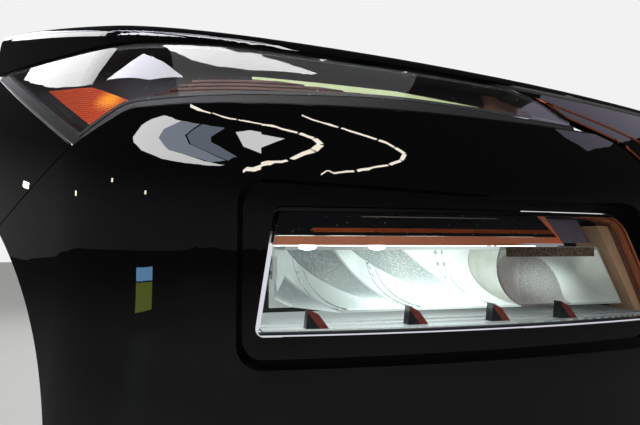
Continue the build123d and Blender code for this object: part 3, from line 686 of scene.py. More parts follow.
@dataclass(frozen=True)
class SmokedBezel(Finish):
    """Dark violet-brown bezel of the upper lamp, with pale specks of painted reflection for small facets
    catching light, and a ribbed tip.
    """

    reflection_patch: Pair = (-128.0, -66.0)
    reflection_heights: Pair = (112.0, 123.0)
    tip: Pair = (158.0, 232.0)
    # Painted reflection specks about 1.8 mm apart and ribs about 1.9 mm apart.
    spark_scale: float = 0.55
    rib_scale: float = 0.24

    def dress(self, skin: Skin) -> Socket:
        """Add the painted reflections and the ribs.

        Args:
            skin: what the finish works on.

        Returns:
            The colour to use.
        """
        graph = skin.graph
        where = CORNER.axes(graph, skin.place)
        # Painted reflections: pale specks in an area of the bezel, standing in for small facets that catch
        # light.
        spots = graph.add(
            "TexVoronoi", {"Scale": self.spark_scale, "Randomness": 1.0, "Vector": where["vector"]}
        ).outputs["Distance"]
        reflection_patch = graph.times(
            graph.band(where["along"], *self.reflection_patch, 6.0), graph.band(where["up"], *self.reflection_heights, 1.0),
            graph.band(spots, None, 0.28, 0.15),
        )
        ribs = graph.add(
            "TexWave", {"Scale": self.rib_scale, "Distortion": 0.6, "Vector": where["vector"]},
            bands_direction="DIAGONAL",
        ).outputs["Fac"]
        tip = graph.times(graph.band(where["along"], *self.tip, 3.0), graph.band(ribs, 0.55, None, 0.3))
        pale = graph.add(
            "MixRGB", {"Fac": reflection_patch, "Color1": skin.colour, "Color2": linear("#D8C8C0")}
        ).outputs[0]
        return graph.add("MixRGB", {"Fac": tip, "Color1": pale, "Color2": linear("#A87C6C")}).outputs[0]


@dataclass(frozen=True)
class Light(Finish):
    """Glowing surface of a light source, and of the light guide, whose glow is painted light."""

    glow: float = 3.0
    glow_colour: str = "#FFFFFF"

    def dress(self, skin: Skin) -> Socket:
        """Set the glow."""
        skin.glow(self.glow_colour, self.glow)
        return skin.colour


# Solid black under clear coat: near black, with mirror-like reflections that ripple slightly.
PAINT = Finish(
    "clear coated black paint", "#050506", 0.35, specular=0.0, coat=1.0, coat_roughness=0.012,
    shade="#0A0A0C", fleck=0.3, fleck_mm=3.0, grain_mm=5.0, relief=0.0015,
)
# Hard-coated clear polycarbonate: sharp reflections over what lies behind.
UPPER_GLASS = ClearPlastic(
    "hard coated polycarbonate", "#FBFDFF", 0.0, shade="#F4F8FA", fleck=0.1, wander=0.0
)
LAMP_GLASS = MainLensPlastic(
    "clear polycarbonate lens", "#FBFDFF", 0.0, ior=1.12, shade="#F4F8FA", fleck=0.1, wander=0.0,
    dust_mm=5.0,
)
# Aluminium vapour on moulded plastic: satin scoops with a painted glow in the light's colour, and sparkling
# grain.
BOWL = LitMetal(
    "metallised bowl", "#BDBBB2", 0.3, metallic=1.0, shade="#94908A", fleck=0.4, fleck_mm=12.0,
    grained="#7A6462", grit="#D4C4C4", hottest=0.95, coolest=0.12, hot_centre=(96.0, -30.0),
    hot_radii=(34.0, 17.0), bowl=True,
)
METALLISED = LitMetal(
    "metallised reflector", "#DDE3E1", 0.22, metallic=1.0, shade="#B8C0BE", fleck=0.3, fleck_mm=12.0
)
LEDGE = SteppedLedge("metallised stepped ledge", "#E6ECEA", 0.25, metallic=0.8, shade="#A8B0AE", fleck=0.3)
# Copper-tinted metallised plastic: a warm glint along each edge. As a band along the grille trim's edges it
# is a painted reflection of warm light.
COPPER = Finish(
    "copper tinted chrome", "#B0582E", 0.28, metallic=0.8, shade="#7A3216", fleck=0.35, fleck_mm=14.0
)
TRIM = TwoToneTrim(
    "copper tinted brow trim", "#B25E3A", 0.4, metallic=0.1, specular=0.2, shade="#8A4428", fleck=0.3,
    fleck_mm=16.0,
)
PANEL = EndPanelFinish(
    "tinted end panel", "#66402E", 0.5, specular=0.2, shade="#4A2E24", fleck=0.3, fleck_mm=10.0
)
# Gloss black and smoked ABS: dark, with blurred highlights under the lens.
GLOSS_BLACK = Finish(
    "gloss black moulded bezel", "#040405", 0.1, specular=0.25, shade="#101013", fleck=0.3, fleck_mm=8.0
)
SMOKED = SmokedBezel("smoked violet bezel", "#21141A", 0.3, shade="#0E080C", fleck=0.4, fleck_mm=9.0)
RIB_METAL = Finish(
    "smoked chrome rib", "#8A6A62", 0.2, metallic=1.0, shade="#3A2420", fleck=0.5, fleck_mm=30.0
)
# Transparent acrylics: amber with a painted orange glow and hot spot, and a guide with a painted soft green
# glow.
AMBER = RibbedAmber("amber acrylic reflector", "#8A1E06", 0.3, specular=0.2)
# Painted light: the light guide glows, though its lamp has no source.
GUIDE = Light(
    "clear acrylic light guide", "#DCE8B4", 0.12, coat=0.6, shade="#A8B890", fleck=0.4, glow=0.35,
    glow_colour="#D6E6A4",
)
# Textured polypropylene and nylon: a fine grain that scatters light and hides scuffs.
GRAINED = Finish(
    "grained black polypropylene", "#17181A", 0.55, shade="#232427", fleck=0.4, grain_mm=1.3, relief=0.06
)
LINER = Finish(
    "moulded liner plastic", "#141516", 0.65, shade="#26251F", fleck=0.5, fleck_mm=45.0, grain_mm=2.5,
    relief=0.1,
)
HOUSING = Finish(
    "glass filled black nylon", "#111214", 0.5, shade="#1D1E20", fleck=0.4, fleck_mm=14.0, grain_mm=0.9,
    relief=0.03,
)
# Electro-coated pressed steel: satin black with a faint orange peel.
E_COAT = Finish(
    "electro coated steel", "#1B1C1E", 0.38, shade="#2A2A2B", fleck=0.5, fleck_mm=30.0, grain_mm=3.0,
    relief=0.02,
)
RUBBER = Finish(
    "moulded rubber", "#0D0D0D", 0.8, shade="#1B1A19", fleck=0.4, fleck_mm=6.0, grain_mm=0.7, relief=0.04
)
# Bare metals: sandy casting, and zinc with small spangles.
CAST = Finish(
    "die cast aluminium", "#A4A7AA", 0.45, metallic=1.0, shade="#7C7F82", fleck=0.5, fleck_mm=5.0,
    grain_mm=0.8, relief=0.03,
)
ZINC = Finish(
    "zinc plated steel", "#B9B6A6", 0.3, metallic=1.0, shade="#8C8A80", fleck=0.5, fleck_mm=2.0,
    grain_mm=0.5, relief=0.005,
)
# Small tinted mouldings of the lamp: satin lilac and grainy copper brown. A bright metal strip stands in for
# a reflection line along the brow: a painted reflection.
LILAC = Finish(
    "satin lilac plastic", "#7C7686", 0.4, metallic=0.2, shade="#5A5462", fleck=0.4, fleck_mm=12.0,
    relief=0.01,
)
VISOR = Finish(
    "grained copper visor", "#A08468", 0.5, specular=0.3, shade="#2E2018", fleck=0.8, fleck_mm=1.6,
    grain_mm=0.8, relief=0.15,
)
REFLECTION_LINE = Finish("bright strip of painted reflection", "#C9BDB4", 0.2, metallic=1.0, shade="#8A7A70", fleck=0.4)
# Lit lenses and sources, brighter than white.
GLARE = Light("light source lens", "#FFFFFF", 0.2, glow=9.0, glow_colour="#F0FFF8")
SOURCE = Light("lit light source", "#FFFFFF", 0.3, glow=2.5, glow_colour="#F4FFFA")

NODE_FINISHES = {
    "wing_front": PAINT, "bumper_corner": PAINT, "grille_header": PAINT, "grille_trim": PAINT,
    "bonnet_corner": PAINT, "bonnet_frame": E_COAT, "bump_stop_1": RUBBER, "bump_stop_2": RUBBER,
    "upper_lens": UPPER_GLASS, "main_lens": LAMP_GLASS, "upper_housing": HOUSING, "main_housing": HOUSING,
    "upper_bezel": SMOKED, "amber_reflector": AMBER, "light_ribs": RIB_METAL, "light_guide": GUIDE,
    "brow_bezel": GLOSS_BLACK, "brow_trim": TRIM, "lamp_ledge": LEDGE, "end_panel": PANEL,
    "levelling_frame": METALLISED, "levelling_motor": HOUSING, "led_driver": CAST, "corner_carrier": E_COAT,
    "arch_liner": LINER, "lower_cladding": GRAINED,
    **{f"reflector_{number}": METALLISED for number in range(1, 4)}, "reflector_4": BOWL,
    **{f"led_unit_{number}": SOURCE for number in range(1, 5)},
    **{f"heat_sink_{number}": CAST for number in range(1, 5)},
}


class Workshop:
    """Makes each material once and finishes new pieces."""

    def __init__(self) -> None:
        self.made: dict[str, bpy.types.Material] = {}

    def material(self, finish: Finish) -> bpy.types.Material:
        """Give the material of a finish, built on its first use."""
        if finish.name not in self.made:
            self.made[finish.name] = finish.build()
        return self.made[finish.name]

    def dress_nodes(self) -> None:
        """Put a finish on every CAD node."""
        for name, finish in NODE_FINISHES.items():
            mesh = NODES[name].data
            mesh.materials.clear()
            mesh.materials.append(self.material(finish))
        LOG.info("dressed %d nodes", len(NODE_FINISHES))

    def finish(self, piece: bpy.types.Object, name: str, finish: Finish, body: Body, slot: str) -> None:
        """Name a new piece, dress it and put it on its body.

        Args:
            piece: the finished mesh object.
            name: its plain name.
            finish: its material.
            body: the body it rides on.
            slot: a material slot's name; not used.
        """
        piece.name = name
        piece.data.name = name
        piece.data.materials.clear()
        piece.data.materials.append(self.material(finish))
        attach(piece, body.value)
        LOG.info("%s on %s, %d faces", name, body.value, len(piece.data.polygons))


def select_only(piece: bpy.types.Object) -> None:
    """Make one object the only selected and active one.

    Args:
        piece: the object.
    """
    bpy.ops.object.select_all(action="DESELECT")
    piece.select_set(True)
    bpy.context.view_layer.objects.active = piece


def fresh(primitive: str, **sizes: object) -> bpy.types.Object:
    """Add one of Blender's own meshes, selected by itself.

    Args:
        primitive: the mesh's name among Blender's own.
        sizes: its sizes and place.

    Returns:
        The new object.
    """
    bpy.ops.object.select_all(action="DESELECT")
    getattr(bpy.ops.mesh, f"primitive_{primitive}_add")(**sizes)
    return bpy.context.object


@contextmanager
def edit_mode(select: str = "") -> Iterator[None]:
    """Open the active mesh for editing and close it again.

    Args:
        select: what is done to its selection first, if anything.
    """
    bpy.ops.object.mode_set(mode="EDIT")
    if select:
        bpy.ops.mesh.select_all(action=select)
    yield
    bpy.ops.object.mode_set(mode="OBJECT")


def choose_faces(piece: bpy.types.Object, wanted: FaceTest) -> None:
    """Select only the faces of a piece that a test wants.

    Args:
        piece: the mesh object.
        wanted: says which faces to select.
    """
    select_only(piece)
    with edit_mode("DESELECT"):
        bpy.ops.mesh.select_mode(type="FACE")
    for face in piece.data.polygons:
        face.select = wanted(face)


def cut_away(piece: bpy.types.Object, cuts: list[Cut], fill: bool = False) -> None:
    """Cut a piece by planes and drop what lies on the side that each plane points to.

    Args:
        piece: the mesh object.
        cuts: a point and a direction for each plane.
        fill: whether each cut is closed.
    """
    select_only(piece)
    with edit_mode():
        for point, direction in cuts:
            bpy.ops.mesh.select_all(action="SELECT")
            bpy.ops.mesh.bisect(plane_co=point, plane_no=direction, clear_outer=True, use_fill=fill)


def add_modifier(piece: bpy.types.Object, kind: str, **settings: object) -> None:
    """Add a modifier with its settings and apply it.

    Args:
        piece: the mesh object.
        kind: the modifier's type.
        settings: its settings by name.
    """
    select_only(piece)
    modifier = piece.modifiers.new(kind.lower(), kind)
    for name, value in settings.items():
        setattr(modifier, name, value)
    bpy.ops.object.modifier_apply(modifier=modifier.name)


def merged_copy(node: str) -> bpy.types.Object:
    """Copy a CAD node's mesh, with its doubles merged, into a new object.

    Args:
        node: the CAD node.

    Returns:
        The copy.
    """
    piece = bpy.data.objects.new(node, NODES[node].data.copy())
    bpy.context.scene.collection.objects.link(piece)
    select_only(piece)
    with edit_mode("SELECT"):
        bpy.ops.mesh.remove_doubles(threshold=0.01 * MM)
    return piece


def skin_copy(node: str, wanted: FaceTest) -> bpy.types.Object:
    """Copy some faces of a CAD node into a new object.

    Args:
        node: the CAD node.
        wanted: says which faces are copied.

    Returns:
        The copy.
    """
    piece = merged_copy(node)
    choose_faces(piece, lambda face: not wanted(face))
    with edit_mode():
        bpy.ops.mesh.delete(type="FACE")
    return piece


def surface_strip(node: str, wanted: FaceTest, cuts: list[Cut], thickness: float) -> bpy.types.Object:
    """Lay a thin strip on some faces of a node, between some planes.

    Args:
        node: the CAD node that carries the strip.
        wanted: says which faces carry it.
        cuts: planes as for cut_away.
        thickness: the strip's thickness in millimetres.

    Returns:
        The strip.
    """
    piece = skin_copy(node, wanted)
    cut_away(piece, cuts)
    add_modifier(piece, "SOLIDIFY", thickness=thickness * MM, offset=1.0, use_even_offset=True)
    bpy.ops.object.shade_smooth_by_angle(angle=math.radians(30))
    return piece


def edge_frame(node: str, wanted: FaceTest, width: float, thickness: float) -> bpy.types.Object:
    """Lay a thin band just inside the outline of some faces of a node.

    Args:
        node: the CAD node that carries the band.
        wanted: says which faces it outlines.
        width: the band's width in millimetres.
        thickness: its thickness in millimetres.

    Returns:
        The band.
    """
    piece = skin_copy(node, wanted)
    with edit_mode("SELECT"):
        bpy.ops.mesh.dissolve_limited(angle_limit=math.radians(0.5))
        bpy.ops.mesh.select_all(action="SELECT")
        bpy.ops.mesh.inset(thickness=width * MM, use_boundary=True, use_even_offset=True)
        bpy.ops.mesh.delete(type="FACE")
    add_modifier(piece, "SOLIDIFY", thickness=thickness * MM, offset=1.0, use_even_offset=True)
    return piece


def edge_bead(node: str, wanted: Callable[[Vector], bool], radius: float) -> bpy.types.Object:
    """Roll a thin bead along some sharp edges of a node, as its rounded edge.

    Args:
        node: the CAD node.
        wanted: says whether an edge at a place carries the bead.
        radius: the bead's radius in millimetres.

    Returns:
        The bead.
    """
    piece = merged_copy(node)
    with edit_mode("DESELECT"):
        bpy.ops.mesh.select_mode(type="EDGE")
        bpy.ops.mesh.edges_select_sharp(sharpness=math.radians(50))
    mesh = piece.data
    for edge in mesh.edges:
        edge.select = edge.select and all(wanted(mesh.vertices[number].co) for number in edge.vertices)
    for part in (*mesh.vertices, *mesh.polygons):
        part.select = False
    with edit_mode("INVERT"):
        bpy.ops.mesh.delete(type="EDGE_FACE")
        bpy.ops.mesh.select_all(action="SELECT")
        bpy.ops.mesh.delete_loose(use_verts=True, use_edges=False, use_faces=False)
    select_only(piece)
    bpy.ops.object.convert(target="CURVE")
    curve = bpy.context.object.data
    curve.bevel_depth = radius * MM
    curve.bevel_resolution = 2
    curve.use_fill_caps = True
    bpy.ops.object.convert(target="MESH")
    bpy.ops.object.shade_smooth()
    return bpy.context.object


def lamp_block(
    along: Pair, up: Pair, out: Pair, cuts: list[Cut] | None = None, bevel: float = 0.4
) -> bpy.types.Object:
    """Shape a block in the main lamp's own directions, trimmed by planes and with broken edges.

    Args:
        along: where it starts and ends along the lamp, in millimetres.
        up: its lowest and highest point.
        out: how far behind and ahead of the lamp's plane it reaches.
        cuts: planes as for cut_away.
        bevel: width of the broken edges.

    Returns:
        The block.
    """
    block = fresh("cube", size=1.0)
    with edit_mode():
        bpy.ops.transform.resize(value=[(end - start) * MM for start, end in (along, out, up)])
    block.data.transform(LAMP.stand(sum(along) / 2, sum(up) / 2, sum(out) / 2))
    cut_away(block, cuts or [], fill=True)
    with edit_mode("SELECT"):
        bpy.ops.mesh.bevel(offset=bevel * MM, segments=2, affect="EDGES")
    return block


@dataclass(frozen=True)
class MainLamp:
    """Strips, light blade, bars, visor and side pieces of the main lamp.

    Each range, in millimetres along the lamp, and each pair of heights or depths is a start and an end.
    """

    copper_heights: Pair = (13.6, 16.8)
    copper_range: Pair = (-150.0, 62.0)
    reflection_line_heights: Pair = (25.3, 26.1)
    reflection_line_range: Pair = (-112.0, 6.0)
    strip_thickness: float = 0.4
    blade_heights: Pair = (3.2, 4.6)
    blade_range: Pair = (-166.0, 40.0)
    blade_depths: Pair = (-19.0, -15.0)
    chamber_depths: Pair = (-62.0, -14.0)
    chamber_heights: Pair = (-50.0, 3.0)
    # How far a blade leans outboard for each millimetre of depth.
    lean: float = 29 / 48
    # Foot of each bar along the lamp, for the reflectors in order, and where its two lines lie from it.
    bar_feet: tuple[float, float, float] = (-122.0, -55.0, 16.0)
    bar_lines: tuple[Pair, ...] = ((-2.5, 0.0), (4.5, 6.0))
    bar_thickness: float = 1.4
    # Places along the lamp where the sources shine through under the brow.
    glares: Pair = (-150.0, -91.0)
    glare_radius: float = 5.0
    glare_shape: tuple[float, float, float] = (1.5, 0.6, 0.5)
    glare_height: float = 2.4
    glare_depth: float = -14.2
    end_top: Pair = (128.0, 3.0)
    end_foot: Pair = (154.0, -50.0)
    end_range: Pair = (100.0, 190.0)
    end_faces: Pair = (0.3, 1.8)
    visor_range: Pair = (31.0, 125.0)
    visor_heights: Pair = (-6.0, 2.6)
    visor_depths: Pair = (-13.8, -12.2)
    # The closing panel lies between the brow's end and the end panel's slanted side.
    brow_line: tuple[Pair, ...] = ((67.5, 11.0), (43.8, 31.0))
    side_line: tuple[Pair, ...] = ((120.0, 22.0), (171.9, -64.0))
    closing_range: Pair = (40.0, 140.0)
    closing_heights: Pair = (6.5, 28.6)
    closing_depths: Pair = (-24.0, -22.4)
    deck_range: Pair = (-184.0, 182.0)
    deck_heights: Pair = (-60.4, -57.8)
    deck_depths: Pair = (-94.0, -43.4)
    gasket_depths: Pair = (-74.0, -64.0)
    gasket_height: float = 7.0
    roof_height: float = 31.5
    plate_heights: Pair = (-57.4, 3.0)
    plate_depths: tuple[Pair, ...] = ((-48.5, -28.0), (-96.0, -64.0))
    plate_range: Pair = (-200.0, -165.0)
    plate_faces: Pair = (-188.4, -187.2)
    plate_foot: float = -64.0
    # Which way the outboard wall looks, along the lamp and up.
    plate_slant: Pair = (0.9895, -0.144)

    def build(self, shop: Workshop) -> None:
        """Make every small piece of the main lamp.

        Args:
            shop: the workshop.
        """
        self.make_brow_strip(shop, "brow_copper_strip", self.copper_heights, self.copper_range, COPPER)
        # Painted reflection: a bright metal strip where a reflection line runs along the brow.
        self.make_brow_strip(shop, "brow_reflection_line", self.reflection_line_heights, self.reflection_line_range, REFLECTION_LINE)
        blade = lamp_block(self.blade_range, self.blade_heights, self.blade_depths)
        shop.finish(blade, "reflector_light_blade", SOURCE, Body.LEVELLING, "light_source")
        for number, foot in enumerate(self.bar_feet, 1):
            self.make_bars(shop, number, foot)
        self.make_glares(shop)
        self.make_end_wall(shop)
        visor = lamp_block(self.visor_range, self.visor_heights, self.visor_depths)
        shop.finish(visor, "reflector_visor", VISOR, Body.LEVELLING, "reflector")
        cuts = [LAMP.wall(*self.brow_line, False), LAMP.wall(*self.side_line, True)]
        panel = lamp_block(self.closing_range, self.closing_heights, self.closing_depths, cuts)
        shop.finish(panel, "lamp_closing_panel", LILAC, Body.CORNER, "lamp_bezel")
        deck = lamp_block(self.deck_range, self.deck_heights, self.deck_depths, bevel=0.3)
        shop.finish(deck, "lamp_ledge_deck", LEDGE, Body.CORNER, "lamp_bezel")
        self.make_gasket(shop)
        self.make_side_plates(shop)

    def make_brow_strip(self, shop: Workshop, name: str, heights: Pair, reach: Pair, finish: Finish) -> None:
        """Lay one level strip on the brow's front.

        Args:
            shop: the workshop.
            name: the strip's name.
            heights: its lower and upper edge.
            reach: where it starts and ends along the lamp.
            finish: its material.
        """
        cuts = [
            (LAMP.at(0, heights[1]), UP), (LAMP.at(0, heights[0]), -UP),
            (LAMP.at(reach[1], 0), LAMP.along), (LAMP.at(reach[0], 0), -LAMP.along),
        ]
        strip = surface_strip(
            "brow_bezel", lambda face: face.normal.dot(LAMP.outward) > 0.6, cuts, self.strip_thickness
        )
        shop.finish(strip, name, finish, Body.CORNER, "bright_trim")

    def make_bars(self, shop: Workshop, number: int, foot: float) -> None:
        """Lay a pair of raised lines up one scoop, beside the root of its blade.

        Args:
            shop: the workshop.
            number: the reflector's number.
            foot: the blade's root along the lamp.
        """
        normal = (LAMP.along - LAMP.outward * self.lean).normalized()
        front = self.chamber_depths[1]

        def in_scoop(face: bpy.types.MeshPolygon) -> bool:
            """Say whether a face belongs to the scoop.

            Args:
                face: a face of the reflector.

            Returns:
                Whether it does.
            """
            depth = front - (face.center - LAMP.at(0, 0)).dot(LAMP.outward) / MM
            smooth = abs(face.normal.dot(LAMP.along)) < 0.3
            return smooth and depth > 0.8 and face.normal.dot(LAMP.outward) + face.normal.z > 0.3

        for line, (near, far) in enumerate(self.bar_lines, 1):
            cuts = [(LAMP.at(foot + far, 0, front), normal), (LAMP.at(foot + near, 0, front), -normal)]
            bar = surface_strip(f"reflector_{number}", in_scoop, cuts, self.bar_thickness)
            shop.finish(bar, f"reflector_bar_{number}_{line}", METALLISED, Body.LEVELLING, "reflector")

    def make_glares(self, shop: Workshop) -> None:
        """Set the small lenses of the outboard sources under the brow.

        Args:
            shop: the workshop.
        """
        for number, along in enumerate(self.glares, 1):
            dome = fresh("uv_sphere", segments=20, ring_count=10, radius=self.glare_radius * MM)
            with edit_mode():
                bpy.ops.transform.resize(value=self.glare_shape)
            dome.data.transform(LAMP.stand(along, self.glare_height, self.glare_depth))
            bpy.ops.object.shade_smooth()
            shop.finish(dome, f"source_lens_{number}", GLARE, Body.LEVELLING, "light_source")

    def make_end_wall(self, shop: Workshop) -> None:
        """Close the inner end of the fourth scoop with a slanted wall.

        Args:
            shop: the workshop.
        """
        start, normal = LAMP.wall(self.end_top, self.end_foot, True)
        near, far = self.end_faces
        cuts = [(start + normal * far * MM, normal), (start + normal * near * MM, -normal)]
        wall = lamp_block(self.end_range, self.chamber_heights, self.chamber_depths, cuts, 0.3)
        shop.finish(wall, "reflector_end_wall", BOWL, Body.LEVELLING, "reflector")

    def make_gasket(self, shop: Workshop) -> None:
        """Lay a rubber strip on the housing's roof that closes the gap around the lamp.

        Args:
            shop: the workshop.
        """
        back, front = self.gasket_depths
        cuts = [(LAMP.at(0, 0, front), LAMP.outward), (LAMP.at(0, 0, back), -LAMP.outward)]
        strip = surface_strip(
            "main_housing", lambda face: face.normal.z > 0.9 and face.center.z > self.roof_height * MM, cuts,
            self.gasket_height,
        )
        shop.finish(strip, "lamp_gasket", RUBBER, Body.CORNER, "lamp_housing")

    def make_side_plates(self, shop: Workshop) -> None:
        """Stand two bright plates inside the lamp's outboard wall, before and behind the pivot's boss.

        Args:
            shop: the workshop.
        """
        along, up = self.plate_slant
        side = LAMP.along * along + UP * up
        outer, inner = (LAMP.at(place, self.plate_foot) for place in self.plate_faces)
        cuts = [(inner, side), (outer, -side)]
        for number, depths in enumerate(self.plate_depths, 1):
            plate = lamp_block(self.plate_range, self.plate_heights, depths, cuts, 0.3)
            shop.finish(plate, f"lamp_side_plate_{number}", LEDGE, Body.CORNER, "lamp_bezel")


@dataclass(frozen=True)
class Panels:
    """Copper band along the grille trim's edges, a painted reflection of warm light, and the rolled edges of
    the painted panels.
    """

    reflection_band_width: float = 2.2
    reflection_band_thickness: float = 0.3
    bumper_radius: float = 0.6
    bumper_foot: float = 80.0
    bumper_inner: float = 20.0
    wing_radius: float = 0.8
    wing_end: float = 239.0
    wing_foot: float = 84.0
    wing_inner: float = -300.0
    # A point of the wing's slanted edge, along the corner and up, its slope and how far it may stray.
    edge_point: Pair = (-188.0, 83.0)
    edge_slope: float = -122 / 187
    edge_slack: float = 12.0

    def build(self, shop: Workshop) -> None:
        """Make the copper band of painted reflection and the rolled edges.

        Args:
            shop: the workshop.
        """
        # Painted reflection: a copper band along the trim's edges stands in for warm light mirrored there.
        frame = edge_frame(
            "grille_trim", lambda face: face.normal.dot(LAMP.outward) > 0.35, self.reflection_band_width,
            self.reflection_band_thickness,
        )
        shop.finish(frame, "grille_trim_reflection_band", COPPER, Body.CORNER, "grille_trim")
        top = edge_bead("bumper_corner", self.on_bumper_top, self.bumper_radius)
        shop.finish(top, "bumper_rolled_edge", PAINT, Body.CORNER, "bumper_paint")
        wing = edge_bead("wing_front", self.on_wing_edge, self.wing_radius)
        cut_away(wing, [(Vector((0.0, self.wing_end * MM, 0.0)), Vector((0.0, 1.0, 0.0)))], fill=True)
        shop.finish(wing, "wing_rolled_edge", PAINT, Body.CORNER, "panel_paint")

    def on_bumper_top(self, place: Vector) -> bool:
        """Say whether a place is on the bumper's upper outer edge."""
        outer = place.x < self.bumper_inner * MM and place.dot(CORNER.outward) > 0
        return outer and place.z > self.bumper_foot * MM

    def on_wing_edge(self, place: Vector) -> bool:
        """Say whether a place is on the wing's edge beside the lens.

        Args:
            place: a place in the shared frame, in metres.

        Returns:
            Whether it is.
        """
        along, up = self.edge_point
        line = up + (place.dot(CORNER.along) / MM - along) * self.edge_slope
        near = abs(place.z / MM - line) < self.edge_slack
        return near and place.z > self.wing_foot * MM and place.x < self.wing_inner * MM


@dataclass(frozen=True)
class Fixings:
    """Screws that hold the main lamp to the carrier's plate."""

    # Along the lamp and up, as the housing's lugs.
    places: tuple[Pair, ...] = ((-134.0, -40.0), (-134.0, 14.0), (80.0, 14.0), (105.0, -40.0))
    plate_back: float = -113.0
    head_radius: float = 5.5
    head_height: float = 3.6
    socket_radius: float = 2.6
    socket_depth: float = 2.2
    washer_radius: float = 8.0
    washer_height: float = 1.2

    def build(self, shop: Workshop) -> None:
        """Set a screw with its washer behind each lug.

        Args:
            shop: the workshop.
        """
        model = self.make_screw()
        for number, (along, up) in enumerate(self.places, 1):
            screw = model.copy()
            screw.data = model.data.copy()
            bpy.context.scene.collection.objects.link(screw)
            lying = Matrix.Rotation(math.radians(-90), 4, "X")
            screw.data.transform(LAMP.stand(along, up, self.plate_back) @ lying)
            shop.finish(screw, f"lamp_screw_{number}", ZINC, Body.CORNER, "carrier")
        bpy.data.objects.remove(model)

    def make_disc(self, radius: float, height: float, foot: float) -> bpy.types.Object:
        """Model an upright cylinder.

        Args:
            radius: its radius.
            height: its height.
            foot: the height that it stands at.

        Returns:
            The cylinder.
        """
        middle = (0.0, 0.0, (foot + height / 2) * MM)
        disc = fresh("cylinder", vertices=32, radius=radius * MM, depth=height * MM, location=middle)
        bpy.ops.object.transform_apply(location=True)
        return disc

    def make_screw(self) -> bpy.types.Object:
        """Model one screw with its washer, standing on the plate.

        Returns:
            The screw.
        """
        head = self.make_disc(self.head_radius, self.head_height, self.washer_height)
        highest = max(face.center.z for face in head.data.polygons)
        choose_faces(head, lambda face: face.center.z == highest)
        with edit_mode():
            bpy.ops.mesh.inset(thickness=(self.head_radius - self.socket_radius) * MM)
            bpy.ops.mesh.extrude_region_move(
                TRANSFORM_OT_translate={"value": (0.0, 0.0, -self.socket_depth * MM)}
            )
        self.make_disc(self.washer_radius, self.washer_height, 0.0)
        head.select_set(True)
        bpy.context.view_layer.objects.active = head
        bpy.ops.object.join()
        add_modifier(head, "BEVEL", width=0.35 * MM, segments=2, limit_method="ANGLE")
        bpy.ops.object.shade_smooth_by_angle(angle=math.radians(35))
        return head


@dataclass(frozen=True)
class Softbox:
    """One flat studio light, placed by the direction that it stands in.

    Angles are in degrees. The azimuth runs from straight ahead of the car, and is negative on the
    lamps' outer side. The width and height are how large the light looks from the object. A radiance
    of one is white. A fill light lights pale surfaces and isn't mirrored; others are only mirrored.
    """

    name: str
    azimuth: float
    elevation: float
    width: float
    height: float
    radiance: float
    colour: str
    fill: bool = False


@dataclass(frozen=True)
class Strip:
    """A bent studio light: a row of flat lights through some directions, mirrored only.

    corners hold the azimuth, the elevation and the width at each bend, in degrees.
    """

    name: str
    corners: tuple[tuple[float, float, float], ...]
    radiance: float = 22.0
    colour: str = "#FFF4E4"
    # How much of each stretch is lit.
    share: float = 0.92


@dataclass(frozen=True)
class Panel:
    """A lit studio panel with any outline, given as azimuths and elevations in degrees."""

    name: str
    radiance: float
    colour: str
    corners: tuple[Pair, ...]


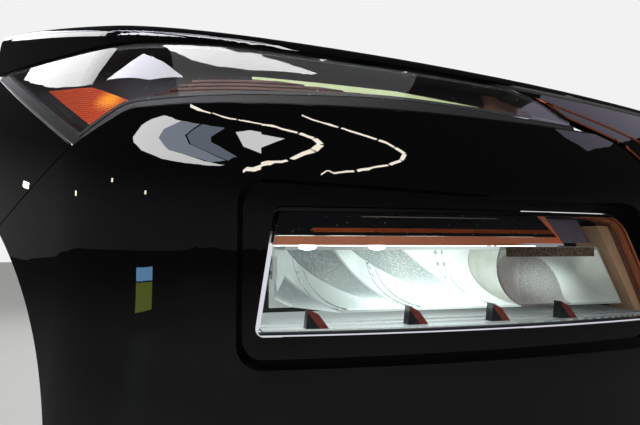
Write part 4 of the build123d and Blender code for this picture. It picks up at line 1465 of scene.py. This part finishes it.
@dataclass(frozen=True)
class Studio:
    """Camera, floor, lights and world."""

    camera_place: tuple[float, float, float] = (-0.47, -0.47, 0.0)
    camera_turn: float = 46.0
    camera_pitch: float = 4.3
    lens_mm: float = 28.0
    sensor_mm: float = 36.0
    floor_level: float = -0.65
    light_distance: float = 4.5
    aim: tuple[float, float, float] = (-0.2, -0.15, 0.08)
    # What mirrors see of the wall, from its foot to its top, and what lights pale surfaces.
    wall_heights: Pair = (0.02, 0.3)
    wall_radiance: Pair = (0.16, 0.035)
    plain_radiance: float = 0.65

    # Where the four small lamps stand, as azimuths and elevations.
    spots: tuple[Pair, ...] = ((-112.8, 10.7), (-134.9, 6.7), (-94.7, 8.9), (-154.6, 7.0))
    softboxes: tuple[Softbox, ...] = (
        Softbox("fill", -46.0, 70.0, 60.0, 60.0, 1.0, "#FFFFFF", fill=True),
        Softbox("rear_fill", 134.0, 30.0, 60.0, 40.0, 1.5, "#FFFFFF", fill=True),
        Softbox("header_glow", 48.0, 34.0, 26.0, 16.0, 1.3, "#C9C2D8"),
        Softbox("low_window_sky", -94.5, -4.9, 8.0, 1.3, 9.0, "#7FB4E6"),
        Softbox("low_window_green", -94.5, -6.9, 8.0, 2.4, 3.5, "#A9B84A"),
        *(
            Softbox(f"spot_{number}", *place, 0.9, 0.9, 22.0, "#FFF0D8")
            for number, place in enumerate(spots, 1)
        ),
    )
    strips: tuple[Strip, ...] = (
        Strip("inner_ring", (
            (-79, 39.5, 0.7), (-65.5, 38.6, 0.7), (-52, 37.3, 0.6), (-39, 36.1, 0.6), (-30.5, 33.9, 0.9),
            (-27, 31.9, 1.1), (-26, 29.6, 1.3), (-28, 27, 1.3), (-33, 23.4, 1.2), (-49, 17.5, 0.8),
        )),
        Strip("outer_ring", (
            (-29, 41.5, 0.6), (-20, 37.5, 0.6), (-12.5, 32.4, 0.7), (-9.2, 29.6, 0.8), (-8, 27, 0.8),
            (-9.4, 24.7, 0.8), (-12.5, 22.8, 0.7), (-20, 20.4, 0.5), (-28, 19.3, 0.4),
        )),
    )
    panels: tuple[Panel, ...] = (
        Panel("window_pane", 13.0, "#FFFFFF", (
            (-92, 34), (-102, 29), (-105, 24), (-104, 22), (-99, 20), (-88, 18.7), (-77, 18.5), (-64, 18.5),
            (-57, 19.5), (-67, 20), (-74, 21), (-85, 22), (-91, 25), (-89, 29), (-81, 33),
        )),
        Panel("window_shade", 6.5, "#C8D4E6", (
            (-81, 33), (-89, 29), (-91, 25), (-85, 22), (-74, 21), (-64, 20), (-57, 21), (-75, 25),
            (-78, 28), (-71, 33),
        )),
        Panel("window_edge", 4.6, "#BECCE0", (
            (-70, 33), (-77, 28), (-74, 25), (-56, 21), (-51, 23), (-64, 27), (-64, 29), (-58, 33),
        )),
        Panel("small_window", 14.0, "#FFFFFF", (
            (-52, 32), (-44, 33.5), (-34, 31), (-41, 24.5), (-48, 26.5),
        )),
        Panel("rear_window", 13.0, "#F4F4FF", (
            (-138, 37), (-133, 44), (-129, 51), (-108, 53), (-90, 51), (-110, 45),
        )),
        Panel("roof_window", 14.0, "#FFFFFF", (
            (-123, 57), (-93, 58.5), (-73, 59.5), (-46, 61), (-17, 61), (-15, 62), (-28, 67), (-58, 69),
            (-96, 65),
        )),
        Panel("side_window", 4.0, "#FFFFFF", (
            (-170, 26), (-173, 28), (-172, 32), (-162, 40), (-151, 44), (-148, 39), (-146, 33), (-162, 27),
        )),
        Panel("side_window_end", 4.0, "#E4E6F4", (
            (172, 24), (-174.5, 27), (-173.5, 32), (-163.5, 40.5), (-170, 39.5), (-178, 36), (172, 30),
        )),
        Panel("roof_glow", 8.0, "#E4E6F4", (
            (-158, 43.5), (-145, 49), (-131, 54.5), (-127, 58.5), (-110, 67), (-96, 68.5), (-58, 72),
            (-28, 71), (-28, 77), (-64, 80), (-110, 73), (-133, 61), (-148, 51.5),
        )),
    )

    def build(self) -> None:
        """Make the camera, the world, the floor and the lights."""
        self.make_camera()
        self.make_world()
        self.make_floor()
        for box in self.softboxes:
            towards = self.towards(box.azimuth, box.elevation)
            size = (box.width, box.height)
            self.hang(box.name, towards, size, box.radiance, box.colour, fill=box.fill)
        for strip in self.strips:
            self.hang_strip(strip)
        for panel in self.panels:
            self.hang_panel(panel)

    def make_camera(self) -> None:
        """Stand the camera where the photographer stood."""
        data = bpy.data.cameras.new("photo_camera")
        data.sensor_fit = "HORIZONTAL"
        data.sensor_width = self.sensor_mm
        data.lens = self.lens_mm
        data.clip_start = 0.01
        camera = bpy.data.objects.new("photo_camera", data)
        bpy.context.scene.collection.objects.link(camera)
        camera.location = self.camera_place
        camera.rotation_euler = (math.radians(90 + self.camera_pitch), 0.0, -math.radians(self.camera_turn))
        bpy.context.scene.camera = camera

    def make_world(self) -> None:
        """Make a backdrop that is pale to the camera and through glass, and dimmer in mirrors."""
        world = bpy.data.worlds.new("studio")
        bpy.context.scene.world = world
        world.use_nodes = True
        graph = Graph(world.node_tree)
        path = graph.add("LightPath").outputs
        generated = graph.add("TexCoord").outputs["Generated"]
        height = graph.add("SeparateXYZ", {"Vector": generated}).outputs["Z"]
        glossy = graph.add("Math", {0: path["Is Glossy Ray"], 1: path["Glossy Depth"]}, operation="ADD")
        mirror = graph.add("Math", {0: 1.0, 1: glossy.outputs[0]}, operation="MINIMUM").outputs[0]
        bounces = graph.add("Math", {0: mirror, 1: path["Diffuse Depth"]}, operation="ADD").outputs[0]
        direct = graph.add("MapRange", {"Value": bounces, "To Min": 1.0, "To Max": 0.0}).outputs[0]
        seen = graph.times(graph.most(path["Is Camera Ray"], path["Is Transmission Ray"]), direct)
        foot, top = self.wall_heights
        at_foot, at_top = self.wall_radiance
        wall = graph.add("MapRange", {
            "Value": height, "From Min": foot, "From Max": top, "To Min": at_foot, "To Max": at_top,
        }, interpolation_type="SMOOTHSTEP").outputs[0]
        plain = graph.add("MapRange", {"Value": mirror, "To Min": self.plain_radiance, "To Max": 0.0})
        light = graph.add("Math", {0: graph.times(mirror, wall), 1: plain.outputs[0]}, operation="ADD")
        strength = graph.most(seen, light.outputs[0])
        backdrop = graph.add("Background", {"Color": linear("#F2F2F2"), "Strength": strength})
        graph.add("OutputWorld", {"Surface": backdrop.outputs[0]})

    def make_floor(self) -> None:
        """Lay the plain pale floor at the road's level."""
        floor = fresh("plane", size=60.0, location=(0.0, 0.0, self.floor_level))
        floor.name = "floor"
        pale = Finish("pale studio floor", "#C9C9C7", 0.8, shade="#BDBDBB", fleck=0.2)
        floor.data.materials.append(pale.build())

    def towards(self, azimuth: float, elevation: float) -> Vector:
        """Turn an azimuth and an elevation into a direction.

        Args:
            azimuth: the angle from straight ahead, in degrees.
            elevation: the angle above level, in degrees.

        Returns:
            The unit direction.
        """
        side, rise = math.radians(azimuth), math.radians(elevation)
        level = math.cos(rise)
        return Vector((math.sin(side) * level, -math.cos(side) * level, math.sin(rise)))

    def hang_strip(self, strip: Strip) -> None:
        """Hang a bent light as a row of flat ones.

        Args:
            strip: the bent light.
        """
        for number, (first, second) in enumerate(zip(strip.corners, strip.corners[1:]), 1):
            start, end = self.towards(*first[:2]), self.towards(*second[:2])
            middle = (start + end).normalized()
            across = (-middle).to_track_quat("-Z", "Y").to_matrix().inverted() @ (end - start)
            size = (math.degrees((end - start).length) * strip.share, (first[2] + second[2]) / 2)
            roll = math.atan2(across.y, across.x)
            self.hang(f"{strip.name}_{number}", middle, size, strip.radiance, strip.colour, roll)

    def hang_panel(self, panel: Panel) -> None:
        """Hang one lit panel, seen only as a reflection.

        Args:
            panel: the panel.
        """
        piece = fresh("circle", vertices=len(panel.corners), fill_type="NGON")
        piece.name = panel.name
        for vertex, corner in zip(piece.data.vertices, panel.corners):
            vertex.co = Vector(self.aim) + self.towards(*corner) * self.light_distance
        material = bpy.data.materials.new(panel.name)
        material.use_nodes = True
        graph = Graph(material.node_tree)
        glow = graph.add("Emission", {"Color": linear(panel.colour), "Strength": panel.radiance})
        graph.add("OutputMaterial", {"Surface": glow.outputs[0]})
        piece.data.materials.append(material)
        piece.visible_camera = False
        piece.visible_diffuse = False
        piece.visible_transmission = False
        piece.visible_shadow = False

    def hang(
        self, name: str, towards: Vector, size: Pair, radiance: float, colour: str, roll: float = 0.0,
        fill: bool = False,
    ) -> None:
        """Hang one flat light.

        Args:
            name: the light's name.
            towards: unit direction that it stands in.
            size: how wide and how high it looks, in degrees.
            radiance: how bright it is, where one is white.
            colour: its colour as sRGB hex.
            roll: its turn about its own axis, in radians.
            fill: whether it is a fill light.
        """
        data = bpy.data.lights.new(name, "AREA")
        data.shape = "RECTANGLE"
        width, height = (2 * self.light_distance * math.tan(math.radians(side / 2)) for side in size)
        data.size, data.size_y = width, height
        data.energy = radiance * math.pi * data.size * data.size_y
        data.color = linear(colour)[:3]
        lamp = bpy.data.objects.new(name, data)
        bpy.context.scene.collection.objects.link(lamp)
        lamp.location = Vector(self.aim) + towards * self.light_distance
        facing = (-towards).to_track_quat("-Z", "Y").to_matrix().to_4x4()
        lamp.rotation_euler = (facing @ Matrix.Rotation(roll, 4, "Z")).to_euler()
        lamp.visible_diffuse = fill
        lamp.visible_glossy = not fill


def main() -> None:
    """Build the studio, dress every CAD node and add the small pieces."""
    logging.basicConfig(level=logging.INFO, format="%(message)s")
    bpy.context.scene.view_settings.view_transform = "Standard"
    Studio().build()
    shop = Workshop()
    shop.dress_nodes()
    MainLamp().build(shop)
    Panels().build(shop)
    Fixings().build(shop)


if __name__ == "__main__":
    main()
